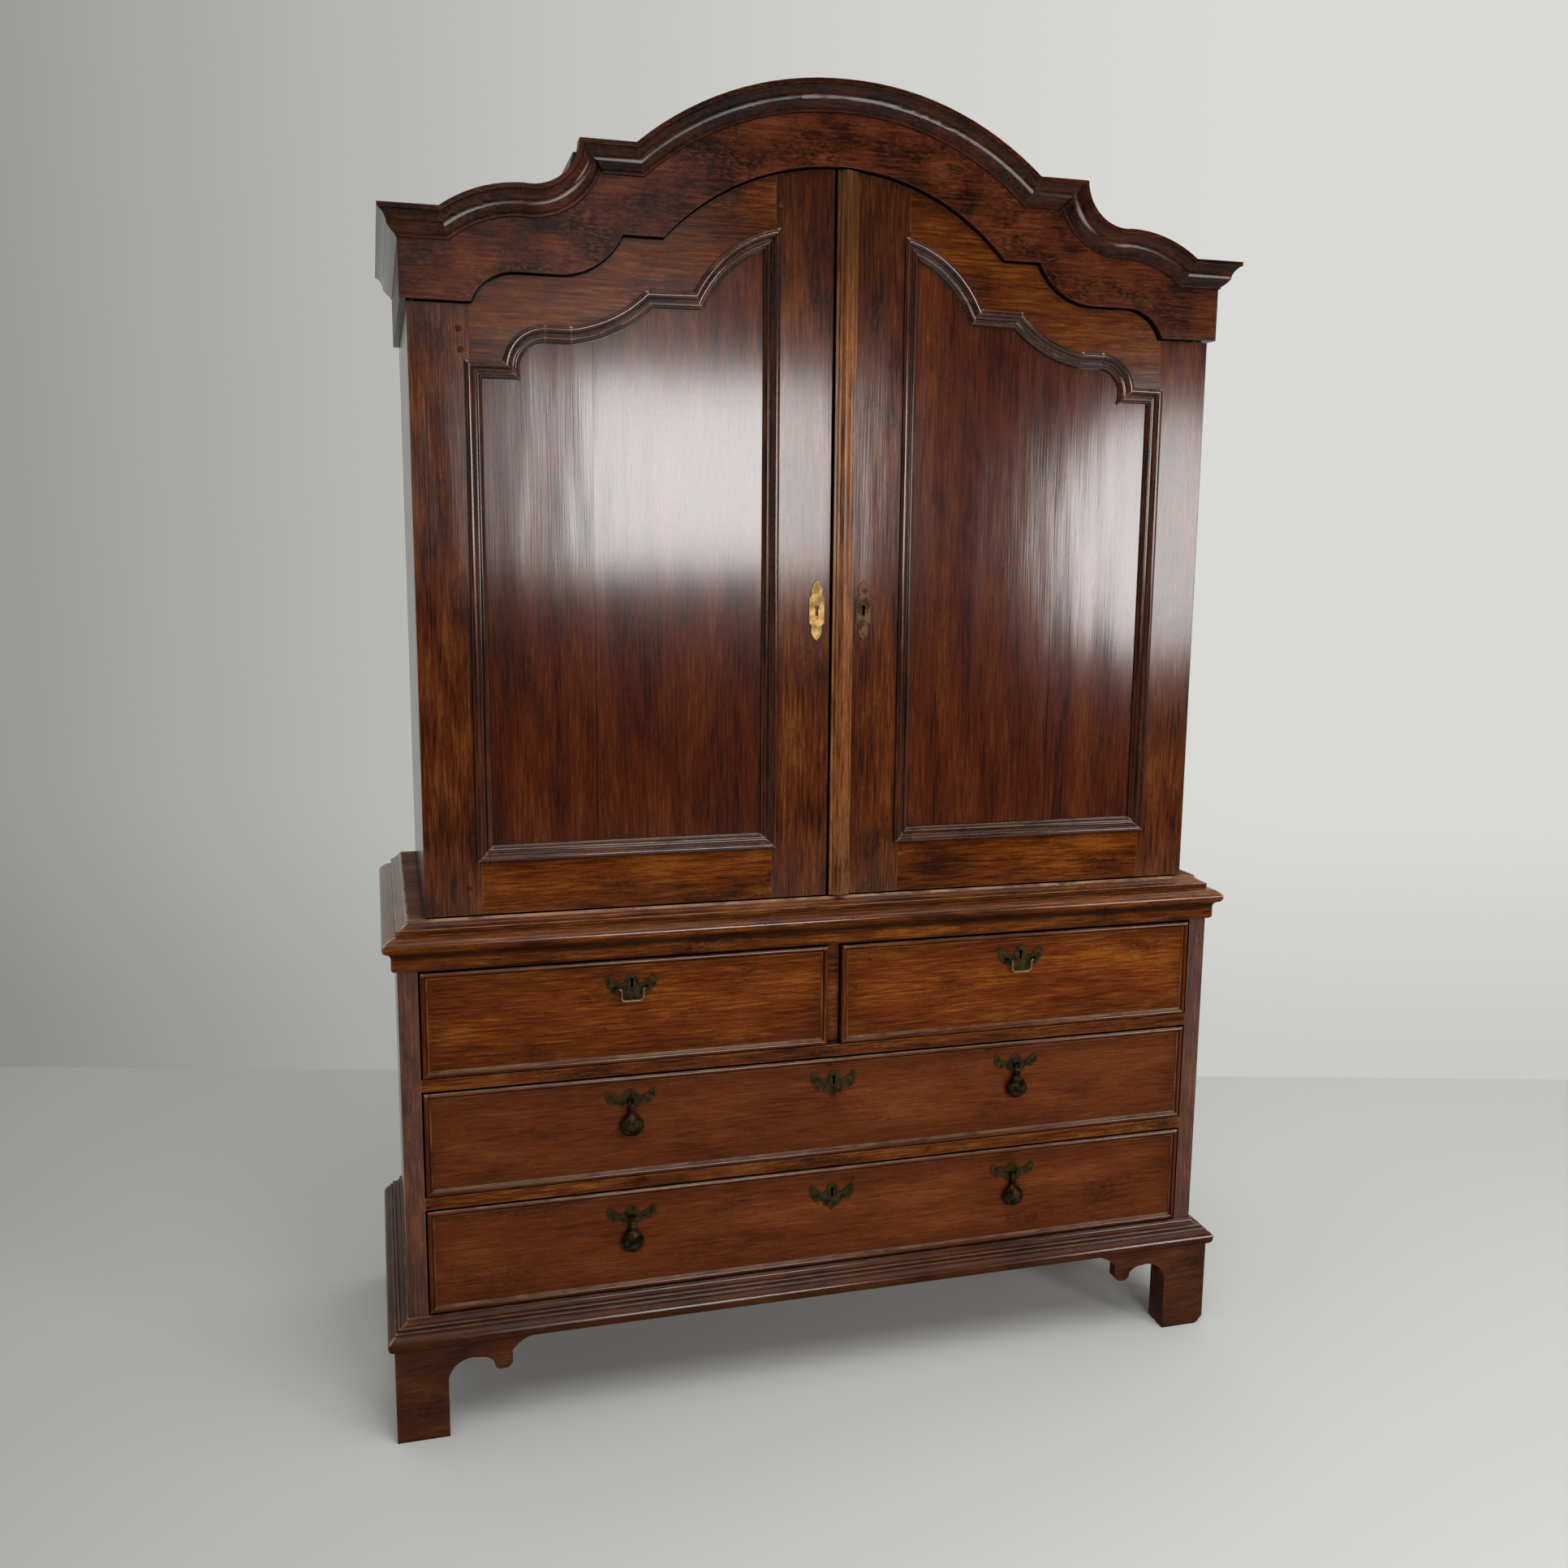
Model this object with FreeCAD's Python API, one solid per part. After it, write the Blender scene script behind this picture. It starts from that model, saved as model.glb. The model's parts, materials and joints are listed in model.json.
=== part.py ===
import FreeCAD, Part
import math
import os

# Oak press: a cupboard with two arched doors that stands on a chest of four drawers.
# Millimetres. +X is to the viewer's right, the front faces -Y and +Z is up.
# The origin lies on the floor, at the middle of the overall width and depth.

# Chest carcase
chest_width = 1500.0
chest_depth = 592.0
chest_side_thickness = 33.0
chest_bottom_thickness = 24.0
chest_top_thickness = 22.0
back_board_thickness = 14.0
chest_back_board_count = 4
foot_height = 167.0
bottom_opening_height = 190.0
middle_opening_height = 188.0
top_opening_height = 188.0
rail_height = 21.0
rail_depth = 60.0
top_rail_height = 39.0
divider_width = 21.0
divider_centre_x = 5.5
divider_setback = 12.0
runner_width = 45.0
guide_height = 40.0

# Mouldings and feet
base_moulding_height = 48.0
base_projection = 36.0
waist_moulding_height = 60.0
waist_projection = 23.0
foot_projection = 25.5
bracket_thickness = 22.0
bracket_length = 231.0
back_bracket_length = 150.0
foot_block_width = 66.0
foot_block_depth = 30.0
foot_block_lift = 4.0

# Cupboard carcase
cupboard_inset = 49.0
cupboard_side_thickness = 25.0
plinth_thickness = 22.0
cupboard_back_board_count = 5
door_setback = 19.4
door_end_height = 987.0
frieze_proud = 10.7
frieze_rise = 244.0
frieze_end_height = 88.0
stop_thickness = 18.0
stop_lap = 12.0
crown_height = 45.0
crown_projection = 29.4
crown_rise = 238.0
crown_joint_x = -75.0
roof_drop = 24.0
roof_thickness = 9.0
roof_arc_staves = 4
shelf_thickness = 20.0
shelf_setback = 34.0
cleat_height = 30.0
cleat_width = 18.0

# Doors
door_thickness = 27.0
door_bottom_gap = 3.0
door_top_gap = 3.0
door_heel_gap = 3.0
meeting_gap = 5.0
meeting_x = -5.5
hanging_stile_width = 94.0
left_meeting_stile_width = 100.0
right_meeting_stile_width = 129.0
bottom_rail_height = 96.0
top_rail_end_height = 92.0
panel_rise = 229.0
panel_thickness = 10.0
panel_recess = 8.0
panel_tongue = 10.0
panel_moulding_lap = 8.0
panel_moulding_inset = 19.0
panel_moulding_proud = 7.0
astragal_width = 37.0
astragal_proud = 10.0

# Door pivots, lock and bolt
pivot_inset = 8.0
pivot_radius = 4.0
pivot_depth = 12.0
pivot_heel_clearance = 0.4
bush_radius = 6.5
running_fit = 0.05
door_lock_width = 84.0
door_lock_height = 96.0
door_lock_thickness = 16.0
door_lock_bolt_height = 26.0
door_lock_bolt_thickness = 8.0
door_lock_bolt_length = 60.0
door_lock_edge = 2.0
door_bolt_length = 170.0
door_bolt_size = 9.0
door_bolt_throw = 12.0
door_bolt_plate_width = 36.0
door_bolt_plate_thickness = 2.0
door_bolt_x = -58.0
staple_height = 14.0
staple_wall = 3.0
bolt_fit = 0.3
bolt_lift = 3.0
key_height = 1412.0
door_plate_width = 27.0
door_plate_height = 104.0
left_door_plate_x = -31.0
right_door_plate_x = 54.0

# Drawers
drawer_side_gap = 3.0
drawer_top_gap = 4.0
drawer_bottom_gap = 2.0
drawer_front_thickness = 22.0
drawer_face_recess = 1.5
drawer_back_clearance = 47.0
drawer_side_thickness = 12.0
drawer_side_drop = 14.0
drawer_back_thickness = 10.0
drawer_back_drop = 10.0
drawer_bottom_thickness = 9.0
drawer_bottom_lift = 8.0
bead_width = 12.0
bead_proud = 4.5
drawer_lock_width = 64.0
drawer_lock_height = 60.0
drawer_lock_thickness = 12.0
drawer_bolt_width = 26.0
drawer_bolt_thickness = 6.0
drawer_bolt_height = 34.0
drawer_bolt_throw = 9.0

# Brasses
plate_thickness = 1.6
keyhole_height = 18.0
keyhole_radius = 3.6
keyhole_slot_width = 5.0
key_plate_offset = 6.0
bail_plate_width = 87.0
bail_plate_height = 50.0
bail_plate_drop = 50.0
bail_spread = 54.0
bail_drop = 21.0
bail_wire_radius = 1.9
bail_bend = 3.0
bail_corner = 7.0
bail_clearance = 0.6
bail_stand = 7.0
bail_post_radius = 4.5
bail_post_nose = 5.0
drop_plate_width = 87.0
drop_plate_height = 40.0
drop_plate_drop = 44.0
drop_length = 66.0
drop_width = 42.0
drop_thickness = 9.0
drop_dome_radius = 15.0
drop_dome_height = 4.0
drop_stand = 9.0
drop_pin_radius = 1.6
drop_eye_radius = 4.0
drop_eye_width = 5.4
ear_thickness = 2.5
ear_height = 7.0
ear_gap = 0.3
key_plate_width = 84.0
key_plate_height = 52.0
key_plate_drop = 50.0
bottom_fittings_drop = 6.0

# Outlines as shares. A path is a start point and steps: one point is a line, two points are an arc.
# The frieze line runs from the middle to the right end: half width, rise, and share of the heel gap.
frieze_shares = (
    (0, 1, 0), ((0.225, 0.865, 0), (0.417, 0.471, 0)), ((0.51, 0.471, 0.4),),
    ((0.562, 0.287, 0.4), (0.652, 0.197, 0.4)), ((0.745, 0.197, 1),),
    ((0.8205, 0.119, 1), (0.8485, 0, 1)), ((1, 0, 0),))
# The crown line runs from the middle to the right end: half width and rise.
crown_shares = (
    (0, 1), ((0.274, 0.853), (0.485, 0.483)), ((0.61, 0.483),),
    ((0.641, 0.269), (0.733, 0.1765)), ((0.843, 0.1134), (0.913, 0)), ((1, 0),))
# The top of a panel opening runs from the meeting edge to the hanging edge: width and rise.
panel_shares = (
    (0, 1), ((0.158, 0.83), (0.2685, 0.528)), ((0.429, 0.522),), ((0.529, 0.362), (0.679, 0.253)),
    ((0.7615, 0.253),), ((0.8457, 0.175), (0.8818, 0)), ((1, 0),))
# Moulding sections: share of the projection, then share of the height.
crown_section_shares = (
    (0, 0), ((1, 0),), ((1, -0.16),), ((0.93, -0.16),), ((0.66, -0.34), (0.52, -0.62)),
    ((0.36, -0.76), (0.1, -0.9)), ((0.1, -0.96),), ((0, -1),))
waist_section_shares = (
    (0, 0), ((0.08, 0.01),), ((0.3, 0.05), (0.39, 0.17)), ((0.39, 0.36),), ((0.46, 0.5), (0.66, 0.57)),
    ((0.8, 0.59),), ((1, 0.775), (0.76, 0.9)), ((0.48, 0.967),), ((0.06, 1),), ((0, 1),))
seat_section_shares = (
    (0, 0), ((0, 0.41),), ((-0.28, 0.46), (-0.6, 0.66)), ((-0.84, 0.82), (-0.94, 1)),
    ((-1, 1),), ((-1, 0),))
base_section_shares = (
    (0, 0), ((0.7, 0),), ((0.9, 0.1), (0.98, 0.29)), ((1, 0.36),), ((0.86, 0.52), (0.67, 0.6)),
    ((0.62, 0.68), (0.53, 0.67)), ((0.5, 0.7),), ((0.46, 0.8), (0.37, 0.78)), ((0.2, 0.84), (0.12, 0.97)),
    ((0, 1),))
# Sections that lie on a face: share across, then share of the height above the face.
bead_section_shares = ((0, 0), ((0, 0.5),), ((0.3, 1), (0.68, 0.6)), ((0.74, 0.3),), ((1, 0.2),), ((1, 0),))
astragal_section_shares = (
    (0, 0), ((0, 0.4),), ((0.13, 0.4),), ((0.16, 0.62),), ((0.27, 0.62),), ((0.5, 1), (0.73, 0.62)),
    ((0.84, 0.62),), ((0.87, 0.4),), ((1, 0.4),), ((1, 0),))
# The part of the panel moulding above the door face: share of the whole width and of the height.
panel_section_shares = (
    (0, 0), ((0.17, 1), (0.42, 0.5)), ((0.52, 0.05), (0.66, -0.15)), ((0.74, 0.12), (0.82, -0.15)),
    ((0.9, -0.3), (1, -0.7)))
# Foot bracket: share of the length from the outer end, then share of the height.
bracket_shares = (
    (0, 0), ((0.381, 0),), ((0.381, 0.63),), ((0.46, 0.8), (0.606, 0.832)), ((0.67, 0.815), (0.72, 0.755)),
    ((0.735, 0.69), (0.785, 0.675)), ((0.835, 0.695), (0.852, 0.77)), ((0.852, 0.86),),
    ((0.905, 0.935), (1, 1)), ((0, 1),))
# The right front foot has lost its outer bottom corner.
worn_bracket_shares = ((0, 0.085), ((0.065, 0),)) + bracket_shares[1:]
back_bracket_shares = ((0, 0), ((0.4, 0),), ((0.55, 0.7), (1, 1)), ((0, 1),))
# Right halves of the plates from the top to the bottom: half width, and height from the middle.
batwing_shares = (
    (0, 0.5), ((0.14, 0.47), (0.26, 0.3)), ((0.38, 0.17), (0.52, 0.22)), ((0.68, 0.3), (0.8, 0.44)),
    ((0.95, 0.47), (1, 0.3)), ((0.98, 0.08), (0.82, -0.06)), ((0.72, -0.16), (0.6, -0.13)),
    ((0.5, -0.1), (0.42, -0.17)), ((0.3, -0.32), (0.13, -0.34)), ((0.1, -0.42), (0, -0.5)))
bail_plate_shares = batwing_shares[:-2] + (((0.3, -0.38), (0, -0.46)),)
door_plate_shares = (
    (0, 0.5), ((0.42, 0.44), (0.74, 0.35)), ((0.66, 0.287),), ((0.74, 0.24), (1, 0.21)), ((1, -0.21),),
    ((0.74, -0.24), (0.66, -0.287)), ((0.74, -0.35),), ((0.42, -0.44), (0, -0.5)))
# Right half of a drop from the pin to its foot: half width and length.
drop_shares = (
    (0, 0), ((0.12, 0),), ((0.12, -0.3),), ((0.45, -0.42), (0.86, -0.58)), ((1, -0.72), (0.72, -0.9)),
    ((0.4, -0.98), (0, -1)))
shelf_level_shares = (0.27, 0.52, 0.77)
# Place of the drops: share of the way from the middle to the chest side.
pull_share = 0.508

# Levels and planes
front_y = (base_projection - chest_depth) / 2
back_y = front_y + chest_depth
chest_half = chest_width / 2
chest_inner_half = chest_half - chest_side_thickness
back_inner_y = back_y - back_board_thickness
rail_back_y = front_y + rail_depth
bottom_opening_z = foot_height + base_moulding_height
lower_rail_z = bottom_opening_z + bottom_opening_height
middle_opening_z = lower_rail_z + rail_height
upper_rail_z = middle_opening_z + middle_opening_height
top_opening_z = upper_rail_z + rail_height
top_rail_z = top_opening_z + top_opening_height
chest_board_z = top_rail_z + top_rail_height
chest_top_z = chest_board_z + chest_top_thickness
foot_half = chest_half + foot_projection
foot_front_y = front_y - foot_projection
plinth_top_z = chest_top_z + plinth_thickness
plinth_half = chest_half - door_setback
cupboard_half = chest_half - cupboard_inset
cupboard_inner_half = cupboard_half - cupboard_side_thickness
door_face_y = front_y + door_setback
door_back_y = door_face_y + door_thickness
pivot_y = door_face_y + door_thickness / 2
pivot_half = cupboard_half - pivot_inset
heel_reach = math.hypot(pivot_inset, door_thickness / 2)
cupboard_front_y = pivot_y + heel_reach + pivot_heel_clearance
frieze_y = door_face_y - frieze_proud
frieze_half = cupboard_half + frieze_proud
frieze_z = plinth_top_z + door_end_height
crown_end_z = frieze_z + frieze_end_height + crown_height
roof_end_z = crown_end_z - roof_drop
door_z = plinth_top_z + door_bottom_gap
door_end_z = frieze_z - door_top_gap
panel_end_z = door_end_z - top_rail_end_height
panel_z = door_z + bottom_rail_height
panel_face_y = door_face_y + panel_recess
drawer_face_y = front_y + drawer_face_recess
drawer_front_back_y = drawer_face_y + drawer_front_thickness
drawer_end_y = back_inner_y - drawer_back_clearance
plate_face_y = drawer_face_y - plate_thickness
mitre_reach = chest_width
left, right = -1, 1


def vec(x, y, z):
    return FreeCAD.Vector(x, y, z)


def block(x_range, y_range, z_range):
    """A rectangular board between three pairs of limits, given in any order."""
    limits = [sorted(pair) for pair in (x_range, y_range, z_range)]
    sizes = [high - low for low, high in limits]
    return Part.makeBox(*sizes, vec(*[low for low, high in limits]))


def cylinder(radius, start, end):
    axis = vec(*end) - vec(*start)
    return Part.makeCylinder(radius, axis.Length, vec(*start), axis)


def path(start, *steps):
    """Segments (start, middle, end) of a path; the middle is None for a line."""
    segments = []
    here = start
    for step in steps:
        middle = step[0] if len(step) == 2 else None
        segments.append((here, middle, step[-1]))
        here = step[-1]
    return segments


def mapped(segments, change):
    """The same path with every point changed."""
    return [tuple(None if point is None else change(*point) for point in segment) for segment in segments]


def run_back(segments):
    return [(end, middle, start) for start, middle, end in reversed(segments)]


def flipped(segments):
    """The mirror image across the middle plane, run the other way."""
    return run_back(mapped(segments, lambda x, z: (-x, z)))


def closed(segments):
    return segments + [(segments[-1][2], None, segments[0][0])]


def rectangle(x_range, z_range):
    """A rectangle that runs anticlockwise seen from the front."""
    (x0, x1), (z0, z1) = x_range, z_range
    return closed(path((x0, z0), ((x1, z0),), ((x1, z1),), ((x0, z1),)))


def face_of(segments, to_space):
    """The flat face inside a closed path."""
    edges = []
    for start, middle, end in segments:
        if middle is None:
            edges.append(Part.LineSegment(to_space(*start), to_space(*end)).toShape())
        else:
            edges.append(Part.Arc(to_space(*start), to_space(*middle), to_space(*end)).toShape())
    return Part.Face(Part.Wire(edges))


def front_slab(segments, y_range):
    """A board with its outline in the front view."""
    y0, y1 = y_range
    return face_of(segments, lambda x, z: vec(x, y0, z)).extrude(vec(0, y1 - y0, 0))


def side_slab(segments, x_range):
    """A board with its outline in the side view."""
    x0, x1 = x_range
    return face_of(segments, lambda y, z: vec(x0, y, z)).extrude(vec(x1 - x0, 0, 0))


def plan_slab(segments, z_range):
    """A board with its outline in the plan view."""
    z0, z1 = z_range
    return face_of(segments, lambda x, y: vec(x, y, z0)).extrude(vec(0, 0, z1 - z0))


def beyond(corner, normal, reach):
    """The space on the far side of a plane, for cutting mitres."""
    space = Part.makeBox(2 * reach, 2 * reach, reach, vec(-reach, -reach, 0))
    space.Placement = FreeCAD.Placement(vec(*corner), FreeCAD.Rotation(vec(0, 0, 1), vec(*normal)))
    return space


def arc_centre(start, middle, end):
    """Centre of the circle through three points, and +1 for an anticlockwise arc."""
    (ax, az), (bx, bz), (cx, cz) = start, middle, end
    turn = (bx - ax) * (cz - bz) - (bz - az) * (cx - bx)
    a2, b2, c2 = ax * ax + az * az, bx * bx + bz * bz, cx * cx + cz * cz
    x = (a2 * (bz - cz) + b2 * (cz - az) + c2 * (az - bz)) / (2 * turn)
    z = (a2 * (cx - bx) + b2 * (ax - cx) + c2 * (bx - ax)) / (2 * turn)
    return (x, z), math.copysign(1, turn)


def turned(point, centre, angle):
    """A point of the front view turned anticlockwise about a centre."""
    x, z = point[0] - centre[0], point[1] - centre[1]
    c, s = math.cos(angle), math.sin(angle)
    return centre[0] + c * x - s * z, centre[1] + s * x + c * z


def arc_angle(start, end, centre, turn):
    """The angle that an arc covers, in radians."""
    first = math.atan2(start[1] - centre[1], start[0] - centre[0])
    last = math.atan2(end[1] - centre[1], end[0] - centre[0])
    return (turn * (last - first)) % (2 * math.pi)


def heading(segment, at_end):
    """Direction of travel at one end of a segment."""
    start, middle, end = segment
    if middle is None:
        x, z = end[0] - start[0], end[1] - start[1]
    else:
        centre, turn = arc_centre(start, middle, end)
        point = end if at_end else start
        x, z = turn * (centre[1] - point[1]), turn * (point[0] - centre[0])
    size = math.hypot(x, z)
    return x / size, z / size


def swept_segment(segment, section, face_y, overrun):
    """A moulding along one segment, longer by the overrun at both ends.

    The section holds (up, out): up is to the left of travel, out is to the front of the face.
    """
    start, middle, end = segment
    tx, tz = heading(segment, False)
    if middle is None:
        first = (start[0] - tx * overrun, start[1] - tz * overrun)
    else:
        centre, turn = arc_centre(start, middle, end)
        extra = overrun / math.dist(start, centre)
        first = turned(start, centre, -turn * extra)
        tx, tz = turned((tx, tz), (0, 0), -turn * extra)
    face = face_of(section, lambda up, out: vec(first[0] - tz * up, face_y - out, first[1] + tx * up))
    if middle is None:
        length = math.dist(start, end) + 2 * overrun
        return face.extrude(vec(tx * length, 0, tz * length))
    sweep_angle = math.degrees(arc_angle(start, end, centre, turn) + 2 * extra)
    return face.revolve(vec(centre[0], 0, centre[1]), vec(0, -turn, 0), sweep_angle)


def mitre(before, after, side, face_y, reach):
    """The space past the mitre between two segments (side 1), or ahead of it (side -1)."""
    bx, bz = heading(before, True)
    ax, az = heading(after, False)
    corner = after[0]
    return beyond((corner[0], face_y, corner[1]), (side * (ax + bx), 0, side * (az + bz)), reach)


def sweep(segments, section, face_y, overrun, ring):
    """Lengths of moulding along a path, mitred where they meet."""
    pieces = []
    count = len(segments)
    for place, segment in enumerate(segments):
        piece = swept_segment(segment, section, face_y, overrun)
        if ring or place > 0:
            piece = piece.cut(mitre(segments[place - 1], segment, -1, face_y, 4 * overrun))
        if ring or place < count - 1:
            piece = piece.cut(mitre(segment, segments[(place + 1) % count], 1, face_y, 4 * overrun))
        pieces.append(max(piece.Solids, key=lambda solid: solid.Volume))
    return pieces


def sized(shares, across, height, origin=(0, 0)):
    """A path in millimetres from a table of shares."""
    return mapped(path(*shares), lambda u, v: (origin[0] + across * u, origin[1] + height * v))


def skirt(section, half_width, face_y):
    """A moulding round the front and both sides, mitred at the front corners."""
    outer = max(point[0] for segment in section for point in segment if point)
    ends = half_width + outer
    front = face_of(section, lambda p, z: vec(-ends, face_y - p, z)).extrude(vec(2 * ends, 0, 0))
    pieces = []
    for side in (left, right):
        corner = (side * half_width, face_y, 0)
        front = front.cut(beyond(corner, (side, 1, 0), mitre_reach))
        face = face_of(section, lambda p, z: vec(side * (half_width + p), face_y - outer, z))
        run = face.extrude(vec(0, back_y - face_y + outer, 0))
        pieces.append(run.cut(beyond(corner, (-side, -1, 0), mitre_reach)))
    return [front] + pieces


def keyhole(x, z, y_range):
    """The space of a keyhole, round above and narrow below."""
    y0, y1 = y_range
    round_z = z + keyhole_height / 2 - keyhole_radius
    slot_half = keyhole_slot_width / 2
    hole = cylinder(keyhole_radius, (x, y0, round_z), (x, y1, round_z))
    return hole.fuse(block((x - slot_half, x + slot_half), y_range, (z - keyhole_height / 2, round_z)))


def symmetric_plate(shares, width, height, x, z, y_range):
    """A flat fitting from the table of its right half."""
    half = sized(shares, width / 2, height)
    return front_slab(mapped(half + flipped(half), lambda u, v: (x + u, z + v)), y_range)


# Chest carcase


def chest_sides():
    z_range = (foot_height, chest_board_z)
    return [block((side * chest_inner_half, side * chest_half), (front_y, back_y), z_range)
            for side in (left, right)]


def chest_back_boards():
    width = 2 * chest_inner_half / chest_back_board_count
    starts = [-chest_inner_half + width * place for place in range(chest_back_board_count)]
    return [block((x, x + width), (back_inner_y, back_y), (foot_height, chest_board_z)) for x in starts]


def chest_bottom_board():
    z_range = (bottom_opening_z - chest_bottom_thickness, bottom_opening_z)
    return [block((-chest_inner_half, chest_inner_half), (rail_back_y, back_inner_y), z_range)]


def chest_top_board():
    return [block((-chest_half, chest_half), (front_y, back_y), (chest_board_z, chest_top_z))]


def chest_face_frame():
    """Four rails with pockets for the lock bolts, and the set-back divider."""
    levels = ((foot_height, bottom_opening_z), (lower_rail_z, middle_opening_z),
              (upper_rail_z, top_opening_z), (top_rail_z, chest_board_z))
    rails = [block((-chest_inner_half, chest_inner_half), (front_y, rail_back_y), z_range)
             for z_range in levels]
    for name in drawer_openings:
        rails = [rail.cut(drawer_bolt_pocket(name)) for rail in rails]
    divider = block(divider_range(), (front_y + divider_setback, rail_back_y), (top_opening_z, top_rail_z))
    return rails + [divider]


def divider_range():
    return divider_centre_x - divider_width / 2, divider_centre_x + divider_width / 2


def drawer_runners():
    """Side runners for two levels, the centre runner and the guide on it."""
    y_range = (rail_back_y, back_inner_y)
    pieces = []
    for low, high in ((lower_rail_z, middle_opening_z), (upper_rail_z, top_opening_z)):
        for side in (left, right):
            x_range = (side * chest_inner_half, side * (chest_inner_half - runner_width))
            pieces.append(block(x_range, y_range, (low, high)))
    centre_range = (divider_centre_x - runner_width, divider_centre_x + runner_width)
    pieces.append(block(centre_range, y_range, (upper_rail_z, top_opening_z)))
    pieces.append(block(divider_range(), y_range, (top_opening_z, top_opening_z + guide_height)))
    return pieces


def waist_moulding():
    low = (0, chest_top_z - waist_moulding_height)
    return skirt(closed(sized(waist_section_shares, waist_projection, waist_moulding_height, low)),
                 chest_half, front_y)


def base_moulding():
    section = closed(sized(base_section_shares, base_projection, base_moulding_height, (0, foot_height)))
    return skirt(section, chest_half, front_y)


# Feet


def bracket_outline(outer, inward, shares):
    """A bracket from its outer end, running inward (+1 or -1)."""
    return closed(sized(shares, inward * bracket_length, foot_height, (outer, 0)))


def front_feet():
    """Front and side brackets, mitred at the corners."""
    pieces = []
    for side, shares in ((left, bracket_shares), (right, worn_bracket_shares)):
        corner = (side * foot_half, foot_front_y, 0)
        front = front_slab(bracket_outline(side * foot_half, -side, shares),
                           (foot_front_y, foot_front_y + bracket_thickness))
        flank = side_slab(bracket_outline(foot_front_y, 1, shares),
                          (side * (foot_half - bracket_thickness), side * foot_half))
        pieces.append(front.cut(beyond(corner, (side, 1, 0), mitre_reach)))
        pieces.append(flank.cut(beyond(corner, (-side, -1, 0), mitre_reach)))
    return pieces


def rear_feet():
    """Side brackets at the back, and plain brackets across the back."""
    pieces = []
    for side in (left, right):
        inner = side * (foot_half - bracket_thickness)
        pieces.append(side_slab(bracket_outline(back_y, -1, bracket_shares), (inner, side * foot_half)))
        outline = sized(back_bracket_shares, -side * back_bracket_length, foot_height, (inner, 0))
        pieces.append(front_slab(closed(outline), (back_y - bracket_thickness, back_y)))
    return pieces


def foot_blocks():
    pieces = []
    for side in (left, right):
        outer = foot_half - bracket_thickness
        x_range = (side * outer, side * (outer - foot_block_width))
        for y, inward in ((foot_front_y + bracket_thickness, 1), (back_y - bracket_thickness, -1)):
            pieces.append(block(x_range, (y, y + inward * foot_block_depth), (foot_block_lift, foot_height)))
    return pieces


# Cupboard carcase


def arch_line(drop, heel):
    """The arched line under the frieze from left to right, lowered by a drop and eased by a heel gap."""
    def place(u, v, ease):
        return frieze_half * u - heel * ease, frieze_z - drop + frieze_rise * v
    half = mapped(path(*frieze_shares), place)
    return flipped(half) + half


def crown_line():
    """The upper edge of the crown from left to right."""
    half = sized(crown_shares, frieze_half, crown_rise, (0, crown_end_z))
    return flipped(half) + half


def roof_points():
    """Joints of the roof boards from left to right, on the underside."""
    points = []
    for start, middle, end in crown_line():
        points.append(start)
        if middle is not None:
            centre, turn = arc_centre(start, middle, end)
            step = turn * arc_angle(start, end, centre, turn) / roof_arc_staves
            points += [turned(start, centre, step * place) for place in range(1, roof_arc_staves)]
    points.append(crown_line()[-1][2])
    return [(x, z - roof_drop) for x, z in points]


def under_roof(lower_line):
    """The outline between a lower line that runs left to right and the roof."""
    line = lower_line + path(lower_line[-1][2], *[(point,) for point in reversed(roof_points())])
    return closed(line)


def cupboard_sides():
    return [block((side * cupboard_inner_half, side * cupboard_half), (cupboard_front_y, back_y),
                  (plinth_top_z, roof_end_z)) for side in (left, right)]


def plinth_board():
    """The floor of the cupboard, with holes for the lower bushes and the door bolt."""
    board = block((-plinth_half, plinth_half), (door_face_y, back_y), (chest_top_z, plinth_top_z))
    for side in (left, right):
        board = board.cut(bush_space(side, plinth_top_z - pivot_depth, plinth_top_z))
    return [board.cut(door_bolt_hole())]


def cupboard_back_boards():
    """Upright boards cut to the roof."""
    floor_line = path((-frieze_half, plinth_top_z), ((frieze_half, plinth_top_z),))
    sheet = front_slab(under_roof(floor_line), (back_inner_y, back_y))
    width = 2 * cupboard_inner_half / cupboard_back_board_count
    boards = []
    for place in range(cupboard_back_board_count):
        x = -cupboard_inner_half + width * place
        z_range = (plinth_top_z, crown_end_z + crown_rise)
        boards.append(sheet.common(block((x, x + width), (back_inner_y, back_y), z_range)))
    return boards


def roof_boards():
    """Flat boards over the frieze and the back, mitred to each other."""
    points = roof_points()
    headings = [heading((a, None, b), False) for a, b in zip(points, points[1:])]
    before = headings[:1] + headings
    after = headings + headings[-1:]
    tops = []
    for (x, z), (bx, bz), (ax, az) in zip(points, before, after):
        lift = roof_thickness / (1 + ax * bx + az * bz)
        tops.append((x - (az + bz) * lift, z + (ax + bx) * lift))
    boards = []
    for place in range(len(headings)):
        outline = path(points[place], (points[place + 1],), (tops[place + 1],), (tops[place],))
        boards.append(front_slab(closed(outline), (frieze_y, back_y)))
    return boards


def seat_moulding():
    section = closed(sized(seat_section_shares, door_setback, plinth_thickness, (0, chest_top_z)))
    return skirt(section, chest_half, front_y)


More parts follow.
